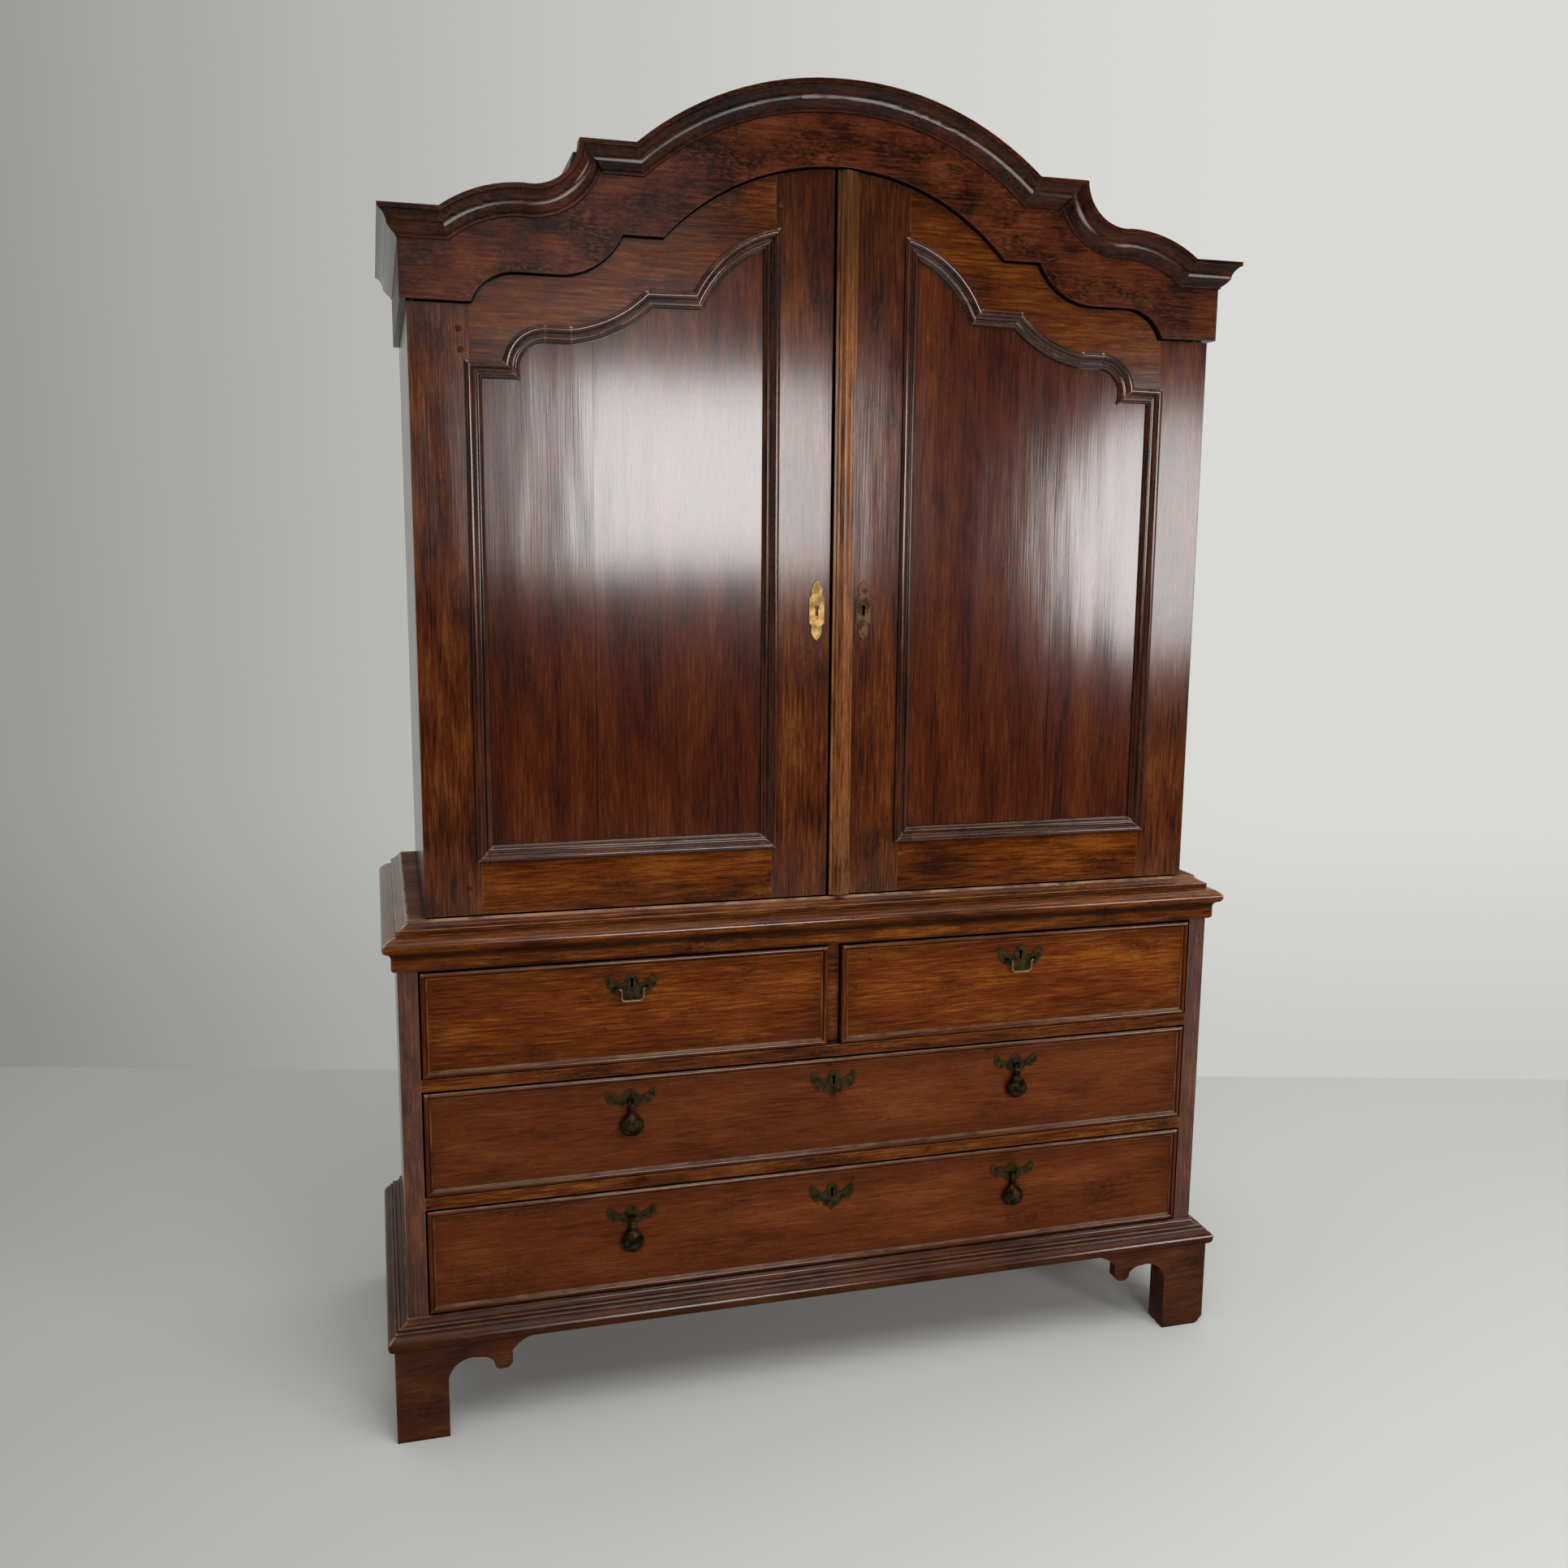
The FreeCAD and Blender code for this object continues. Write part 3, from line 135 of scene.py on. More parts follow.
# Finish of the oak nodes: tone, direction of the grain, and varnish
oak_nodes = {
    "chest_sides": ("frame", "z", "side"),
    "chest_top_board": ("case", "x", "case"),
    "chest_face_frame": ("chest", "x", "chest"),
    "waist_moulding": ("chest", "mitre", "waist"),
    "base_moulding": ("case", "mitre", "base"),
    "front_feet": ("case", "wrap", "case"),
    "rear_feet": ("case", "wrap", "case"),
    "foot_blocks": ("case", "z", "case"),
    "cupboard_sides": ("frame", "z", "side"),
    "plinth_board": ("chest", "x", "chest"),
    "seat_moulding": ("chest", "mitre", "waist"),
    "frieze": ("frieze", "wrap", "frieze"),
    "crown_front": ("crown", "x", "crown"),
    "crown_returns": ("crown", "y", "side"),
    "right_door_astragal": ("strip", "z", "strip"),
    "chest_back_boards": ("inside", "z", "inside"),
    "chest_bottom_board": ("inside", "x", "inside"),
    "drawer_runners": ("inside", "y", "inside"),
    "cupboard_back_boards": ("inside", "z", "inside"),
    "roof_boards": ("inside", "y", "inside"),
    "shelves": ("inside", "x", "inside"),
    "shelf_cleats": ("inside", "y", "inside"),
}
peg_finish = ("case", "y", "case")
drawer_tones = {
    "top_left": "drawer", "top_right": "drawer", "middle": "low_drawer", "bottom": "low_drawer",
}
for side in ("left", "right"):
    oak_nodes[side + "_door_stiles"] = ("frame", "z", "frame")
    oak_nodes[side + "_door_rails"] = ("rail", "x", "rail")
    oak_nodes[side + "_door_panel"] = ("door", "z", "door")
    oak_nodes[side + "_door_moulding"] = ("moulding", "run", "moulding")
for drawer, drawer_tone in drawer_tones.items():
    oak_nodes[drawer + "_drawer_front"] = (drawer_tone, "bead", "drawer")
    oak_nodes[drawer + "_drawer_box"] = ("inside", "y", "inside")

# Where along X the boards of the door panels meet, and how wide the line between them is
panel_joints = {"left_door_panel": (-0.412,), "right_door_panel": (0.415,)}
joint_width = 0.0008

# How far the grain is shifted from board to board and from node to node
board_shift = (3.7, 0.31)
seed_step = 1.37
seed_divisors = (1.0, 3.0, 7.0)

# Varnish: weight and roughness. Oak with no varnish shines a little by itself.
varnish = {
    "door": (1.0, 0.13), "frame": (0.75, 0.14), "rail": (0.65, 0.15), "moulding": (1.0, 0.12),
    "frieze": (0.42, 0.16), "crown": (0.35, 0.15), "case": (0.2, 0.16), "side": (0.95, 0.16),
    "base": (0.6, 0.14), "chest": (0.16, 0.16), "waist": (1.0, 0.16), "drawer": (0.12, 0.16),
    "strip": (0.4, 0.18), "inside": (0.0, 0.5),
}
bare_shine = 0.25
oak_roughness = (0.45, 0.6)
# Varnish left on the beads of the drawers, how far beads and mouldings look up where it is left,
# the share of it elsewhere on mouldings, and how it thins out low on the door rails
bead_coat = 0.9
polish_slopes = (0.06, 0.26)
worn_coat_share = 0.12
rail_polish_levels = (1.0, 1.9)
rail_polish_share = 0.4

# Clouds, bands and streaks in the figure of each tone
figure_shares = {
    "door": (0.4, 0.14, 0.46), "frame": (0.4, 0.06, 0.54), "rail": (0.4, 0.06, 0.54),
    "moulding": (0.4, 0.1, 0.5), "frieze": (0.5, 0.06, 0.44), "crown": (0.5, 0.06, 0.44),
    "case": (0.52, 0.12, 0.36), "chest": (0.4, 0.06, 0.54), "drawer": (0.42, 0.06, 0.52),
    "low_drawer": (0.5, 0.08, 0.42), "strip": (0.3, 0.2, 0.5), "inside": (0.34, 0.2, 0.46),
}
# Clouds along and across the grain of each tone, as repeats in a metre, and their detail and roughness
cloud_repeats = {
    "door": (3.2, 22.0), "frame": (7.0, 17.0), "rail": (6.0, 17.0), "moulding": (6.0, 40.0),
    "frieze": (11.0, 13.0), "crown": (11.0, 13.0), "case": (9.0, 16.0), "chest": (5.0, 20.0),
    "drawer": (4.0, 13.0), "low_drawer": (4.0, 13.0), "strip": (5.0, 40.0), "inside": (2.5, 18.0),
}
cloud_detail = (4.0, 0.55)
# Smudges of each tone: how dark, and the noise levels at which they start and end
smudges = {
    "door": (0.5, 0.5, 0.72), "frame": (0.75, 0.46, 0.7), "rail": (0.7, 0.48, 0.7),
    "moulding": (0.8, 0.4, 0.66), "frieze": (0.92, 0.35, 0.64), "crown": (0.9, 0.35, 0.62),
    "case": (0.55, 0.48, 0.74), "chest": (0.7, 0.5, 0.7), "drawer": (0.6, 0.5, 0.72),
    "low_drawer": (0.55, 0.5, 0.74), "strip": (0.5, 0.5, 0.7), "inside": (0.3, 0.5, 0.75),
}
# Pale wear, dust and painted highlight on edges that look up
crest_highlight_shares = {
    "door": 0.3, "frame": 0.45, "rail": 0.45, "moulding": 0.8, "frieze": 0.5, "crown": 0.5,
    "case": 0.3, "chest": 0.7, "drawer": 0.85, "low_drawer": 0.7, "strip": 0.4, "inside": 0.0,
}
# Painted shade: levels between which the wood of the doors darkens towards the crown, and how far it
# darkens
painted_crown_shades = {"frame": (1.8, 2.06, 0.5), "rail": (1.2, 1.85, 0.24), "strip": (1.8, 2.06, 0.68)}

# Noise patterns: repeats in a metre along and across the grain, detail and roughness
warp_noise = (1.4, 7.0, 2.0, 0.5)
band_noise = (1.1, 46.0, 3.0, 0.6)
streak_noise = (15.0, 250.0, 3.0, 0.62)
dash_noise = (34.0, 420.0, 2.0, 0.5)
pore_noise = (95.0, 1000.0, 1.0, 0.5)
sheen_noise = (9.0, 480.0, 2.0, 0.5)
stain_noise = (8.0, 14.0, 5.0, 0.62)
speck_noise = (90.0, 220.0, 3.0, 0.6)
spot_noise = (26.0, 60.0, 2.0, 0.5)
patch_noise = (22.0, 60.0, 3.0, 0.5)
ripple_noise = (1.6, 10.0, 2.0, 0.5)
tarnish_noise = (90.0, 90.0, 4.0, 0.6)
pit_noise = (700.0, 700.0, 3.0, 0.6)
noise_middle = 0.5

# Ranges: where a mask starts and is full and, if not 0 and 1, what it goes from and to
middle_figure = (0.37, 0.5)
light_figure = (0.49, 0.63)
dash_range = (0.54, 0.7, 0.0, 0.5)
pore_range = (0.55, 0.72, 0.0, 0.65)
speck_range = (0.34, 0.6, 0.2, 1.0)
spot_range = (0.73, 0.8, 0.0, 0.7)
wear_edges = (0.75, 0.4)
wear_patches = (0.38, 0.66, 0.1, 0.7)
crest_highlight_edges = (0.97, 0.75)
crest_highlight_slopes = (0.2, 0.6)
crest_highlight_patches = (0.34, 0.6, 0.2, 1.0)
corner_dirt_and_shade = (0.9, 0.45, 0.0, 0.92)

# Depths and reaches of the grain, the varnish, the wear, and the dirt and painted shade in corners
warp_reach = 0.016
grain_depth = 0.00016
coat_depth = 0.00006
ripple_depth = 0.0014
edge_radius = 0.0016
wear_reach = 0.0032
dirt_and_shade_reach = 0.012
occlusion_samples = 6
bevel_samples = 4
# A face looks to the side where this much of its normal lies along X
side_slope = 0.7
# Widths of the upright runs of a drawer's beads and of a door's mouldings
upright_widths = {"bead": 0.012, "run": 0.034}
# Dirt and painted shade inside the beads: start, peak and end from the drawer's edge, and the shade
# further in
bead_line = (0.0035, 0.0075, 0.011)
bead_dirt_and_shade_share = 0.75
rim_shade = (0.055, 0.012, 0.0, 0.5)
# Painted shadow under the nose of the waist moulding: start, peak and end as shares of its height
cove_shadow_shares = (0.3, 0.46, 0.62)
cove_shadow_share = 0.85

# Brass and iron: dark and bright colour, least roughness, patina and radius of the edges
metal_radius = 0.0007
plate_radius = 0.0022
metals = {
    "brass_old": ((0.007, 0.0053, 0.0026), (0.085, 0.058, 0.022), 0.42, 1.0, metal_radius),
    "brass_worn": ((0.05, 0.036, 0.018), (0.4, 0.28, 0.15), 0.25, 0.7, metal_radius),
    "brass_bright": ((0.08, 0.04, 0.013), (0.5, 0.31, 0.11), 0.3, 0.9, plate_radius),
    "brass_red": ((0.014, 0.009, 0.006), (0.16, 0.085, 0.05), 0.38, 0.95, plate_radius),
    "iron": ((0.03, 0.027, 0.025), (0.12, 0.11, 0.1), 0.45, 0.8, metal_radius),
}
# Metal nodes whose finish is not that of their material slot
special_metals = {
    "top_left_bail": "brass_worn", "top_right_bail": "brass_worn", "right_door_key_plate": "brass_red",
}
# Rubbed edges, tarnish and the roughness that comes with it, and pits
rub_reach = 0.002
rub_range = (0.7, 0.4, 0.0, 0.8)
tarnish_range = (0.35, 0.65, 0.4, 1.0)
dull_range = (0.2, 1.5)
dull_spread = 0.25
pit_depth = 0.00008

# Peg heads on the left door: places as X and Z, and each ring's share of the radius and of the rise
peg_places = ((-0.623, 1.853), (-0.62, 1.821), (-0.1, 2.073), (-0.628, 0.955), (-0.11, 0.955))
peg_radius = 0.0052
peg_rise = 0.0007
peg_sides = 14
peg_ring_shares = ((1.0, 0.0), (0.94, 0.7), (0.6, 1.0), (0.2, 0.9))
peg_wobble_share = 0.06
peg_wobble_turn = 3

# Pear drops: height below the pin and radius of each ring, then the tip, the sides, the depth to the
# front and the back as shares of the radius, and the wire of the eye
drop_rings = (
    (0.0035, 0.0026), (0.0062, 0.0024), (0.0074, 0.0048), (0.0092, 0.0052), (0.0106, 0.0032),
    (0.0122, 0.0034), (0.0134, 0.0062), (0.0156, 0.0066), (0.017, 0.0042), (0.02, 0.0058),
    (0.026, 0.0108), (0.0325, 0.0162), (0.0355, 0.0192), (0.037, 0.0198), (0.0382, 0.0186),
    (0.0395, 0.0188), (0.043, 0.0206), (0.0475, 0.0202), (0.052, 0.0182), (0.056, 0.0148),
    (0.0592, 0.0102), (0.0612, 0.0052),
)
drop_tip = 0.0618
drop_sides = 36
drop_front_share = 0.4
drop_back_share = 0.21
eye_wire = 0.0017
eye_sides = 24
eye_wire_sides = 12


class Tree:
    """Short calls that add nodes to one material or world."""

    def __init__(self, owner):
        owner.use_nodes = True
        self.owner = owner
        self.nodes = owner.node_tree.nodes
        self.links = owner.node_tree.links
        self.nodes.clear()

    def put(self, socket, value):
        """Links an output to a socket, or sets the socket to a constant."""
        if isinstance(value, bpy.types.NodeSocket):
            self.links.new(value, socket)
        elif isinstance(value, tuple) and socket.type == "RGBA":
            socket.default_value = (*value, 1.0)
        else:
            socket.default_value = value

    def add(self, kind, inputs, **settings):
        node = self.nodes.new("ShaderNode" + kind)
        for setting, value in settings.items():
            setattr(node, setting, value)
        for socket, value in inputs.items():
            self.put(node.inputs[socket], value)
        return node

    def noise(self, vector, pattern):
        """Noise that is longer along the grain than across it."""
        along, across, detail, roughness = pattern
        place = self.vectors("MULTIPLY", vector, (along, across, across))
        inputs = {"Vector": place, "Scale": 1.0, "Detail": detail, "Roughness": roughness}
        return self.add("TexNoise", inputs).outputs[0]

    def maths(self, operation, first, second=0.0):
        return self.add("Math", {0: first, 1: second}, operation=operation).outputs[0]

    def product(self, first, second):
        return self.maths("MULTIPLY", first, second)

    def larger(self, first, second):
        return self.maths("MAXIMUM", first, second)

    def vectors(self, operation, first, second):
        return self.add("VectorMath", {0: first, 1: second}, operation=operation).outputs[0]

    def fit(self, value, low, high, to_low=0.0, to_high=1.0):
        """The value moved smoothly from one range to another."""
        inputs = {"Value": value, "From Min": low, "From Max": high, "To Min": to_low, "To Max": to_high}
        return self.add("MapRange", inputs, interpolation_type="SMOOTHSTEP").outputs[0]

    def between(self, kind, factor, first, second):
        """A colour (RGBA) or a vector (VECTOR) between two others."""
        node = self.add("Mix", {}, data_type=kind)
        word = "Color" if kind == "RGBA" else "Vector"
        sockets = {socket.identifier: socket for socket in node.inputs}
        self.put(sockets["Factor_Float"], factor)
        self.put(sockets["A_" + word], first)
        self.put(sockets["B_" + word], second)
        return next(socket for socket in node.outputs if socket.identifier == "Result_" + word)

    def mix(self, factor, first, second):
        return self.between("RGBA", factor, first, second)

    def parts(self, vector):
        return self.add("SeparateXYZ", {0: vector}).outputs

    def joined(self, x, y, z):
        return self.add("CombineXYZ", {0: x, 1: y, 2: z}).outputs[0]

    def place(self):
        return self.add("TexCoord", {}).outputs["Object"]

    def level(self):
        """Height above the floor."""
        return self.parts(self.place())[2]

    def upward(self):
        """How far the surface looks up, with its edges rounded."""
        return self.parts(self.rounded(edge_radius))[2]

    def occlusion(self, reach, inside):
        """How open a point is outward, or inward into its own piece."""
        settings = {"samples": occlusion_samples, "inside": inside, "only_local": inside}
        return self.add("AmbientOcclusion", {"Distance": reach}, **settings).outputs["AO"]

    def rounded(self, radius):
        return self.add("Bevel", {"Radius": radius}, samples=bevel_samples).outputs[0]

    def bump(self, height, depth, normal):
        return self.add("Bump", {"Height": height, "Distance": depth, "Normal": normal}).outputs[0]

    def finish(self, surface, output="OutputMaterial"):
        self.add(output, {"Surface": surface.outputs[0]})
        return self.owner


def new_tree(name):
    """The empty tree of a new material."""
    return Tree(bpy.data.materials.new(name))


def side_mask(tree):
    """1 on faces that look left or right."""
    normal = tree.add("NewGeometry", {}).outputs["True Normal"]
    return tree.maths("GREATER_THAN", tree.maths("ABSOLUTE", tree.parts(normal)[0]), side_slope)


def mitre_mask(tree, x, y, node):
    """1 on the side runs of a moulding that goes round the front corners."""
    low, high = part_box(node)
    past_side = tree.maths("SUBTRACT", tree.maths("ABSOLUTE", x), high.x)
    past_front = tree.maths("SUBTRACT", low.y, y)
    return tree.maths("GREATER_THAN", past_side, past_front)


def from_edge(tree, value, low, high):
    """Distance inward from the nearer of two edges."""
    away = tree.maths("ABSOLUTE", tree.maths("SUBTRACT", value, (low + high) / 2))
    return tree.maths("SUBTRACT", (high - low) / 2, away)


def upright_mask(tree, x, node, width):
    """1 on the upright runs at both ends of a bead or a moulding."""
    low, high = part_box(node)
    return tree.maths("LESS_THAN", from_edge(tree, x, low.x, high.x), width)


def hump(tree, value, start, peak, end):
    """A mask that rises to a peak and falls again."""
    return tree.product(tree.fit(value, start, peak), tree.fit(value, end, peak))


def bead_layers(tree, node, clouds):
    """Dirt and painted shade along the inner side of a drawer's beads, and a cloudy shade that deepens
    towards them.
    """
    low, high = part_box(node)
    across = from_edge(tree, tree.parts(tree.place())[0], low.x, high.x)
    depth = tree.maths("MINIMUM", across, from_edge(tree, tree.level(), low.z, high.z))
    line = tree.product(hump(tree, depth, *bead_line), bead_dirt_and_shade_share)
    return [line, tree.product(tree.fit(depth, *rim_shade), clouds)]


def cove_shadow_layer(tree, node):
    """Painted shadow in the hollow under the nose of the waist moulding."""
    low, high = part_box(node)
    levels = [low.z + share * (high.z - low.z) for share in cove_shadow_shares]
    return tree.product(hump(tree, tree.level(), *levels), cove_shadow_share)


def dirt_and_shade_layers(tree, tone, grain, node, clouds):
    """Dirt and painted shade on certain pieces besides that in their corners, with painted shade towards
    the crown.
    """
    layers = []
    if grain == "bead":
        layers += bead_layers(tree, node, clouds)
    if node == "waist_moulding":
        layers.append(cove_shadow_layer(tree, node))
    # Painted shade, darker towards the crown
    if tone in painted_crown_shades:
        start, end, share = painted_crown_shades[tone]
        layers.append(tree.fit(tree.level(), start, end, 0.0, share))
    return layers


def grain_vector(tree, grain, node):
    """Object coordinates turned so that the grain runs along the first one."""
    x, y, z = tree.parts(tree.place())
    runs = {"x": (x, y, z), "y": (y, x, z), "z": (z, x, y)}
    if grain in runs:
        return tree.joined(*runs[grain])
    other = "y"
    if grain == "wrap":
        mask = side_mask(tree)
    elif grain == "mitre":
        mask = mitre_mask(tree, x, y, node)
    else:
        mask = upright_mask(tree, x, node, upright_widths[grain])
        other = "z"
    return tree.between("VECTOR", mask, tree.joined(*runs["x"]), tree.joined(*runs[other]))


def boarded(tree, vector, joints):
    """The vector shifted from board to board, and 1 on the joints between the boards."""
    if not joints:
        return vector, 0.0
    x = tree.parts(tree.place())[0]
    count = 0.0
    line = 0.0
    for joint in joints:
        away = tree.maths("SUBTRACT", x, joint)
        count = tree.maths("ADD", count, tree.maths("GREATER_THAN", away, 0.0))
        line = tree.larger(line, tree.maths("LESS_THAN", tree.maths("ABSOLUTE", away), joint_width))
    shift = [tree.product(count, reach) for reach in board_shift]
    return tree.vectors("ADD", vector, tree.joined(*shift, 0.0)), line


def edge_masks(tree, vector, tone):
    """Wear on outer edges, pale crests of dust and painted highlight that look up, and dirt and painted
    shade in inner corners.
    """
    patches = tree.noise(vector, patch_noise)
    edge = tree.occlusion(wear_reach, True)
    wear = tree.product(tree.fit(edge, *wear_edges), tree.fit(patches, *wear_patches))
    # Painted highlight and dust on edges that look up
    painted_crest_highlight = tree.fit(tree.upward(), *crest_highlight_slopes, 0.0, crest_highlight_shares[tone])
    painted_crest_highlight = tree.product(painted_crest_highlight, tree.fit(edge, *crest_highlight_edges))
    painted_crest_highlight = tree.product(painted_crest_highlight, tree.fit(patches, *crest_highlight_patches))
    # The last mask is dirt and painted shade where inner corners are closed in
    return wear, painted_crest_highlight, tree.fit(tree.occlusion(dirt_and_shade_reach, False), *corner_dirt_and_shade)


def oak_marks(tree, vector):
    """Bands and streaks along the grain, and its dark dashes and pores."""
    bend = tree.maths("SUBTRACT", tree.noise(vector, warp_noise), noise_middle)
    bend = tree.product(bend, warp_reach)
    bent = tree.vectors("ADD", vector, tree.joined(0.0, bend, bend))
    dashes = tree.fit(tree.noise(bent, dash_noise), *dash_range)
    pores = tree.fit(tree.noise(bent, pore_noise), *pore_range)
    return tree.noise(bent, band_noise), tree.noise(bent, streak_noise), tree.larger(dashes, pores)


def oak_stains(tree, vector, tone):
    """Smudges broken up by fine specks, and a few small dents."""
    share, start, end = smudges[tone]
    smudge = tree.fit(tree.noise(vector, stain_noise), start, end, 0.0, share)
    specks = tree.fit(tree.noise(vector, speck_noise), *speck_range)
    spots = tree.fit(tree.noise(vector, spot_noise), *spot_range)
    return tree.larger(tree.product(smudge, specks), spots)


def oak_figure(tree, colours, layers, shares, marks):
    """Colour of the clean wood, from dark to light along its figure."""
    dark, middle, light = colours
    figure = 0.0
    for layer, share in zip(layers, shares):
        figure = tree.maths("ADD", figure, tree.product(layer, share))
    colour = tree.mix(tree.fit(figure, *middle_figure), dark, middle)
    colour = tree.mix(tree.fit(figure, *light_figure), colour, light)
    return tree.mix(marks, colour, dark)


def coat_weight(tree, grain, node, weight):
    """How much varnish is left: more where beads and mouldings look up, less low on a door's rails."""
    if grain == "bead":
        return tree.fit(tree.upward(), *polish_slopes, weight, bead_coat)
    if grain == "mitre":
        polished = tree.larger(tree.fit(tree.upward(), *polish_slopes), side_mask(tree))
        return tree.fit(polished, 0.0, 1.0, weight * worn_coat_share, weight)
    if node.endswith("_rails"):
        return tree.fit(tree.level(), *rail_polish_levels, weight * rail_polish_share, weight)
    return weight


def oak(name, finish, node, seed):
    """Oak: its figure, then stains, worn edges, dust with painted highlights on crests, and dirt with
    painted shade, under varnish that ripples a little.
    """
    tone, grain, coat = finish
    *grain_colours, worn = tones[tone]
    weight, coat_roughness = varnish[coat]
    tree = new_tree(name)
    start = tuple(seed / divisor for divisor in seed_divisors)
    vector = tree.vectors("ADD", grain_vector(tree, grain, node), start)
    vector, joint_line = boarded(tree, vector, panel_joints.get(node, ()))
    clouds = tree.noise(vector, (*cloud_repeats[tone], *cloud_detail))
    bands, streaks, marks = oak_marks(tree, vector)
    stains = oak_stains(tree, vector, tone)
    wear, painted_crest_highlight, dirt_and_shade = edge_masks(tree, vector, tone)
    # Dirt and painted shade: corners, board joints, beads, the waist moulding's cove and towards the
    # crown
    for layer in [joint_line] + dirt_and_shade_layers(tree, tone, grain, node, clouds):
        dirt_and_shade = tree.larger(dirt_and_shade, layer)
    colour = oak_figure(tree, grain_colours, (clouds, bands, streaks), figure_shares[tone], marks)
    # Stains and wear are the wood's own; crests get dust and painted highlight, the last mask dirt and
    # painted shade
    for mask, cover in ((stains, grime_and_painted_shade), (wear, worn), (painted_crest_highlight, dust_and_painted_highlight), (dirt_and_shade, grime_and_painted_shade)):
        colour = tree.mix(mask, colour, cover)
    ripple = tree.bump(tree.noise(vector, ripple_noise), ripple_depth, tree.rounded(edge_radius))
    return tree.finish(tree.add("BsdfPrincipled", {
        "Base Color": colour,
        "Roughness": tree.fit(stains, 0.0, 1.0, *oak_roughness),
        "Normal": tree.bump(tree.maths("SUBTRACT", streaks, marks), grain_depth, ripple),
        "Specular IOR Level": 0.0 if weight else bare_shine,
        "Coat Weight": coat_weight(tree, grain, node, weight),
        "Coat Roughness": coat_roughness,
        "Coat Normal": tree.bump(tree.noise(vector, sheen_noise), coat_depth, ripple),
    }))


def metal(name, dark, bright, dull, patina, edge):
    """Old metal: tarnished in clouds, bright where hands rub it."""
    tree = new_tree(name)
    place = tree.place()
    pits = tree.noise(place, pit_noise)
    rubbed = tree.fit(tree.occlusion(rub_reach, True), *rub_range)
    tarnish = tree.product(tree.fit(tree.noise(place, tarnish_noise), *tarnish_range), patina)
    colour = tree.mix(tarnish, bright, dark)
    return tree.finish(tree.add("BsdfPrincipled", {
        "Base Color": tree.mix(rubbed, colour, bright),
        "Metallic": 1.0,
        "Roughness": tree.fit(tree.maths("ADD", tarnish, pits), *dull_range, dull, dull + dull_spread),
        "Normal": tree.bump(pits, pit_depth, tree.rounded(edge)),
    }))


def faded(tree, factor, surface):
    """A surface that turns clear where the factor is 1."""
    clear = tree.add("BsdfTransparent", {})
    return tree.add("MixShader", {0: factor, 1: surface.outputs[0], 2: clear.outputs[0]})


def floor_material():
    """A pale floor, with painted shade darker to the left, that fades away at a distance."""
    tree = new_tree("floor")
    place = tree.place()
    # Painted shade, darker to the left
    colour = tree.mix(tree.fit(tree.parts(place)[0], *floor_shade), floor_shaded_grey, floor_lit_grey)
    away = tree.add("VectorMath", {0: place}, operation="LENGTH").outputs["Value"]
    pale = tree.add("BsdfDiffuse", {"Color": colour})
    return tree.finish(faded(tree, tree.fit(away, *floor_fade), pale))


def wall_material():
    """A pale wall that glows by itself, with painted shade darker to the left and towards the floor; its
    back is clear, so that it hides nothing from behind.
    """
    tree = new_tree("wall")
    across = tree.parts(tree.place())[0]
    # Painted shade: darker to the left, and dimmer towards the floor
    colour = tree.mix(tree.fit(across, *wall_shade_span), wall_shaded_grey, wall_lit_grey)
    strength = tree.fit(tree.level(), *wall_foot_shade_levels, wall_foot_shade_share, 1.0)
    pale = tree.add("Emission", {"Color": colour, "Strength": strength})
    return tree.finish(faded(tree, tree.add("NewGeometry", {}).outputs["Backfacing"], pale))


def linked(name, data):
    """A new object in the scene."""
    thing = bpy.data.objects.new(name, data)
    bpy.context.scene.collection.objects.link(thing)
    return thing


def sheet_object(name, corners, material):
    """A flat sheet of the stage."""
    mesh = bpy.data.meshes.new(name)
    mesh.from_pydata(corners, [], [range(len(corners))])
    mesh.materials.append(material)
    sheet = linked(name, mesh)
    return sheet


def make_stage():
    """A floor under the press, and a wall behind it that faces the camera."""
    reach = floor_half
    floor = [(-reach, -reach, 0), (reach, -reach, 0), (reach, reach, 0), (-reach, reach, 0)]
    sheet_object("floor", floor, floor_material())
    foot = [(-wall_half, 0, 0), (wall_half, 0, 0)]
    head = [(wall_half, 0, wall_height), (-wall_half, 0, wall_height)]
    wall = sheet_object("wall", foot + head, wall_material())
    heading = Vector((math.sin(camera_yaw), math.cos(camera_yaw), 0))
    wall.location = Vector((camera_place[0], camera_place[1], 0)) + heading * wall_distance
    wall.rotation_euler = (0, 0, -camera_yaw)
    wall.visible_diffuse = False
    wall.visible_shadow = False


def make_room():
    """Light from all round, dim in front of the press and bright overhead."""
    tree = Tree(bpy.data.worlds.new("room"))
    direction = tree.parts(tree.add("TexCoord", {}).outputs["Generated"])
    colour = tree.mix(tree.fit(direction[1], *front_fade), room_side, room_front)
    colour = tree.mix(tree.fit(direction[2], *top_fade), colour, room_top)
    background = tree.add("Background", {"Color": colour})
    bpy.context.scene.world = tree.finish(background, "OutputWorld")


def make_lamps():
    """Soft lamps, each as bright as its radiance and area make it."""
    for name, (shape, middle, aim, width, height, radiance) in lamps.items():
        data = bpy.data.lights.new(name, "AREA")
        data.shape = shape
        data.size = width
        data.size_y = height
        area = width * height * (ellipse_share if shape == "ELLIPSE" else 1)
        data.energy = radiance * math.pi * area
        lamp = linked(name, data)
        lamp.location = middle
        lamp.visible_glossy = name not in unmirrored_lamps
        lamp.rotation_euler = (Vector(aim) - Vector(middle)).to_track_quat("-Z", "Z").to_euler()


def turned(angle, axis):
    """A turn about an axis."""
    return Matrix.Rotation(angle, matrix_size, axis)


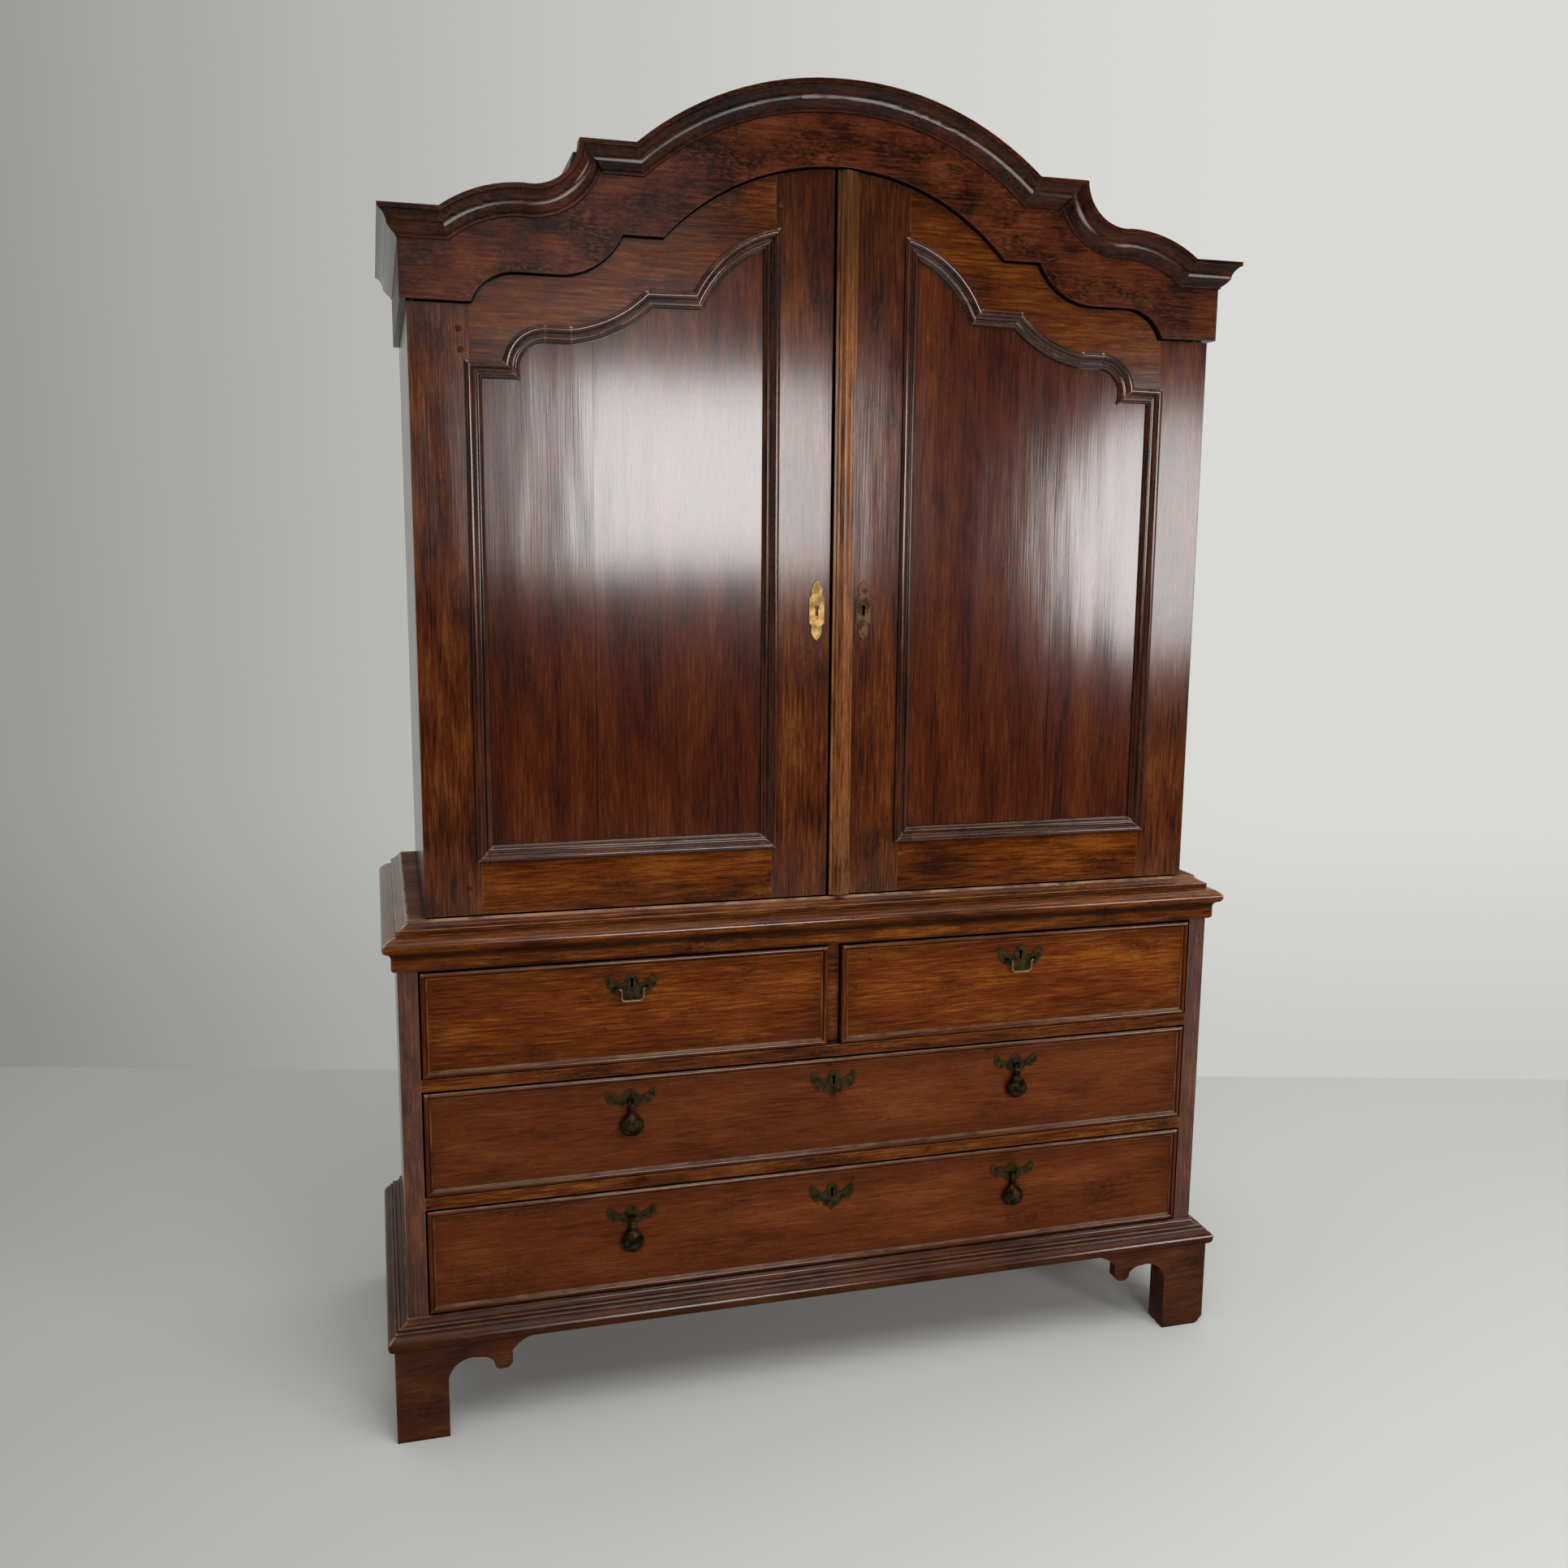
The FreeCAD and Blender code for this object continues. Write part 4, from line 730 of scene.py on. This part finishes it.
def make_camera():
    """A camera at eye height, a little to the left of the press."""
    data = bpy.data.cameras.new("camera")
    data.sensor_width = sensor_width
    data.lens = focal_length
    camera = linked("camera", data)
    heading = turned(-camera_yaw, "Z") @ turned(math.pi / 2 - camera_pitch, "X")
    camera.matrix_world = Matrix.Translation(camera_place) @ heading @ turned(-camera_roll, "Z")
    bpy.context.scene.camera = camera


def finish_nodes(metal_finishes):
    """Gives every carried-over node its material."""
    slots = {row["node"]: row["material_slot"] for row in frame["record"]["subparts"]}
    for place, (name, thing) in enumerate(sorted(frame["nodes"].items())):
        if name in oak_nodes:
            material = oak("oak_" + name, oak_nodes[name], name, place * seed_step)
        else:
            material = metal_finishes[special_metals.get(name, slots[name])]
        thing.data.materials.clear()
        thing.data.materials.append(material)


def piece_object(name, shape, material, body):
    """A new piece of the press, from a mesh under construction."""
    mesh = bpy.data.meshes.new(name)
    bmesh.ops.recalc_face_normals(shape, faces=shape.faces)
    for face in shape.faces:
        face.smooth = True
    shape.to_mesh(mesh)
    shape.free()
    mesh.materials.append(material)
    piece = linked(name, mesh)
    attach(piece, body)
    return piece


def round_angles(sides):
    """Even steps round a full turn."""
    return [math.tau * step / sides for step in range(sides)]


def skinned(shape, rings, closed=False):
    """Faces between neighbouring rings of vertices."""
    followers = rings[1:] + rings[:1] if closed else rings[1:]
    for ring, follower in zip(rings, followers):
        for place in range(len(ring)):
            shape.faces.new((ring[place - 1], ring[place], follower[place], follower[place - 1]))


def add_pegs(material):
    """Peg heads, a little proud of the door faces and not quite round."""
    face_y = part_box("left_door_stiles")[0].y
    for count, (x, z) in enumerate(peg_places):
        shape = bmesh.new()
        rings = []
        for radius_share, rise_share in peg_ring_shares:
            y = face_y - peg_rise * rise_share
            ring = []
            for step, angle in enumerate(round_angles(peg_sides)):
                wobble = 1 + peg_wobble_share * math.sin(peg_wobble_turn * step + count)
                radius = peg_radius * radius_share * wobble
                place = (x + radius * math.cos(angle), y, z + radius * math.sin(angle))
                ring.append(shape.verts.new(place))
            rings.append(ring)
        skinned(shape, rings)
        shape.faces.new(rings[-1])
        piece_object("left_door_peg_%d" % count, shape, material, "left_door")


def drop_bulb(shape, pin):
    """Two collars, sloping shoulders with a rim, and a round bulb that is flatter at the back."""
    rings = []
    for below, radius in drop_rings:
        ring = []
        for angle in round_angles(drop_sides):
            depth_share = drop_front_share if math.sin(angle) < 0 else drop_back_share
            offset = Vector((radius * math.cos(angle), radius * depth_share * math.sin(angle), -below))
            ring.append(shape.verts.new(pin + offset))
        rings.append(ring)
    skinned(shape, rings)
    shape.faces.new(rings[0])
    tip = shape.verts.new(pin + Vector((0, 0, -drop_tip)))
    for place in range(drop_sides):
        shape.faces.new((rings[-1][place - 1], rings[-1][place], tip))


def drop_eye(shape, pin, eye_radius):
    """A ring of wire round the pin."""
    loops = []
    for angle in round_angles(eye_sides):
        outward = Vector((0, math.cos(angle), math.sin(angle)))
        loop = []
        for bend in round_angles(eye_wire_sides):
            sideways = Vector((eye_wire * math.sin(bend), 0, 0))
            offset = outward * (eye_radius + eye_wire * math.cos(bend)) + sideways
            loop.append(shape.verts.new(pin + offset))
        loops.append(loop)
    skinned(shape, loops, True)


def add_drop(node, material):
    """A pear drop that hangs from its pin by an eye, in place of the plainer node."""
    joint = next(row for row in frame["record"]["behaviour"]["joints"] if row["child"] == node)
    pin = Vector(joint["pos_m"])
    shape = bmesh.new()
    drop_bulb(shape, pin)
    drop_eye(shape, pin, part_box(node)[1].z - pin.z - eye_wire)
    piece = piece_object("pear_" + node, shape, material, node)
    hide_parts(node)


make_camera()
make_stage()
make_room()
make_lamps()
metal_finishes = {name: metal(name, *row) for name, row in metals.items()}
finish_nodes(metal_finishes)
add_pegs(oak("oak_pegs", peg_finish, "left_door_stiles", 0.0))
for level in ("middle", "bottom"):
    for side in ("left", "right"):
        add_drop("%s_%s_drop" % (level, side), metal_finishes["brass_old"])
bpy.context.scene.view_settings.view_transform = "Standard"
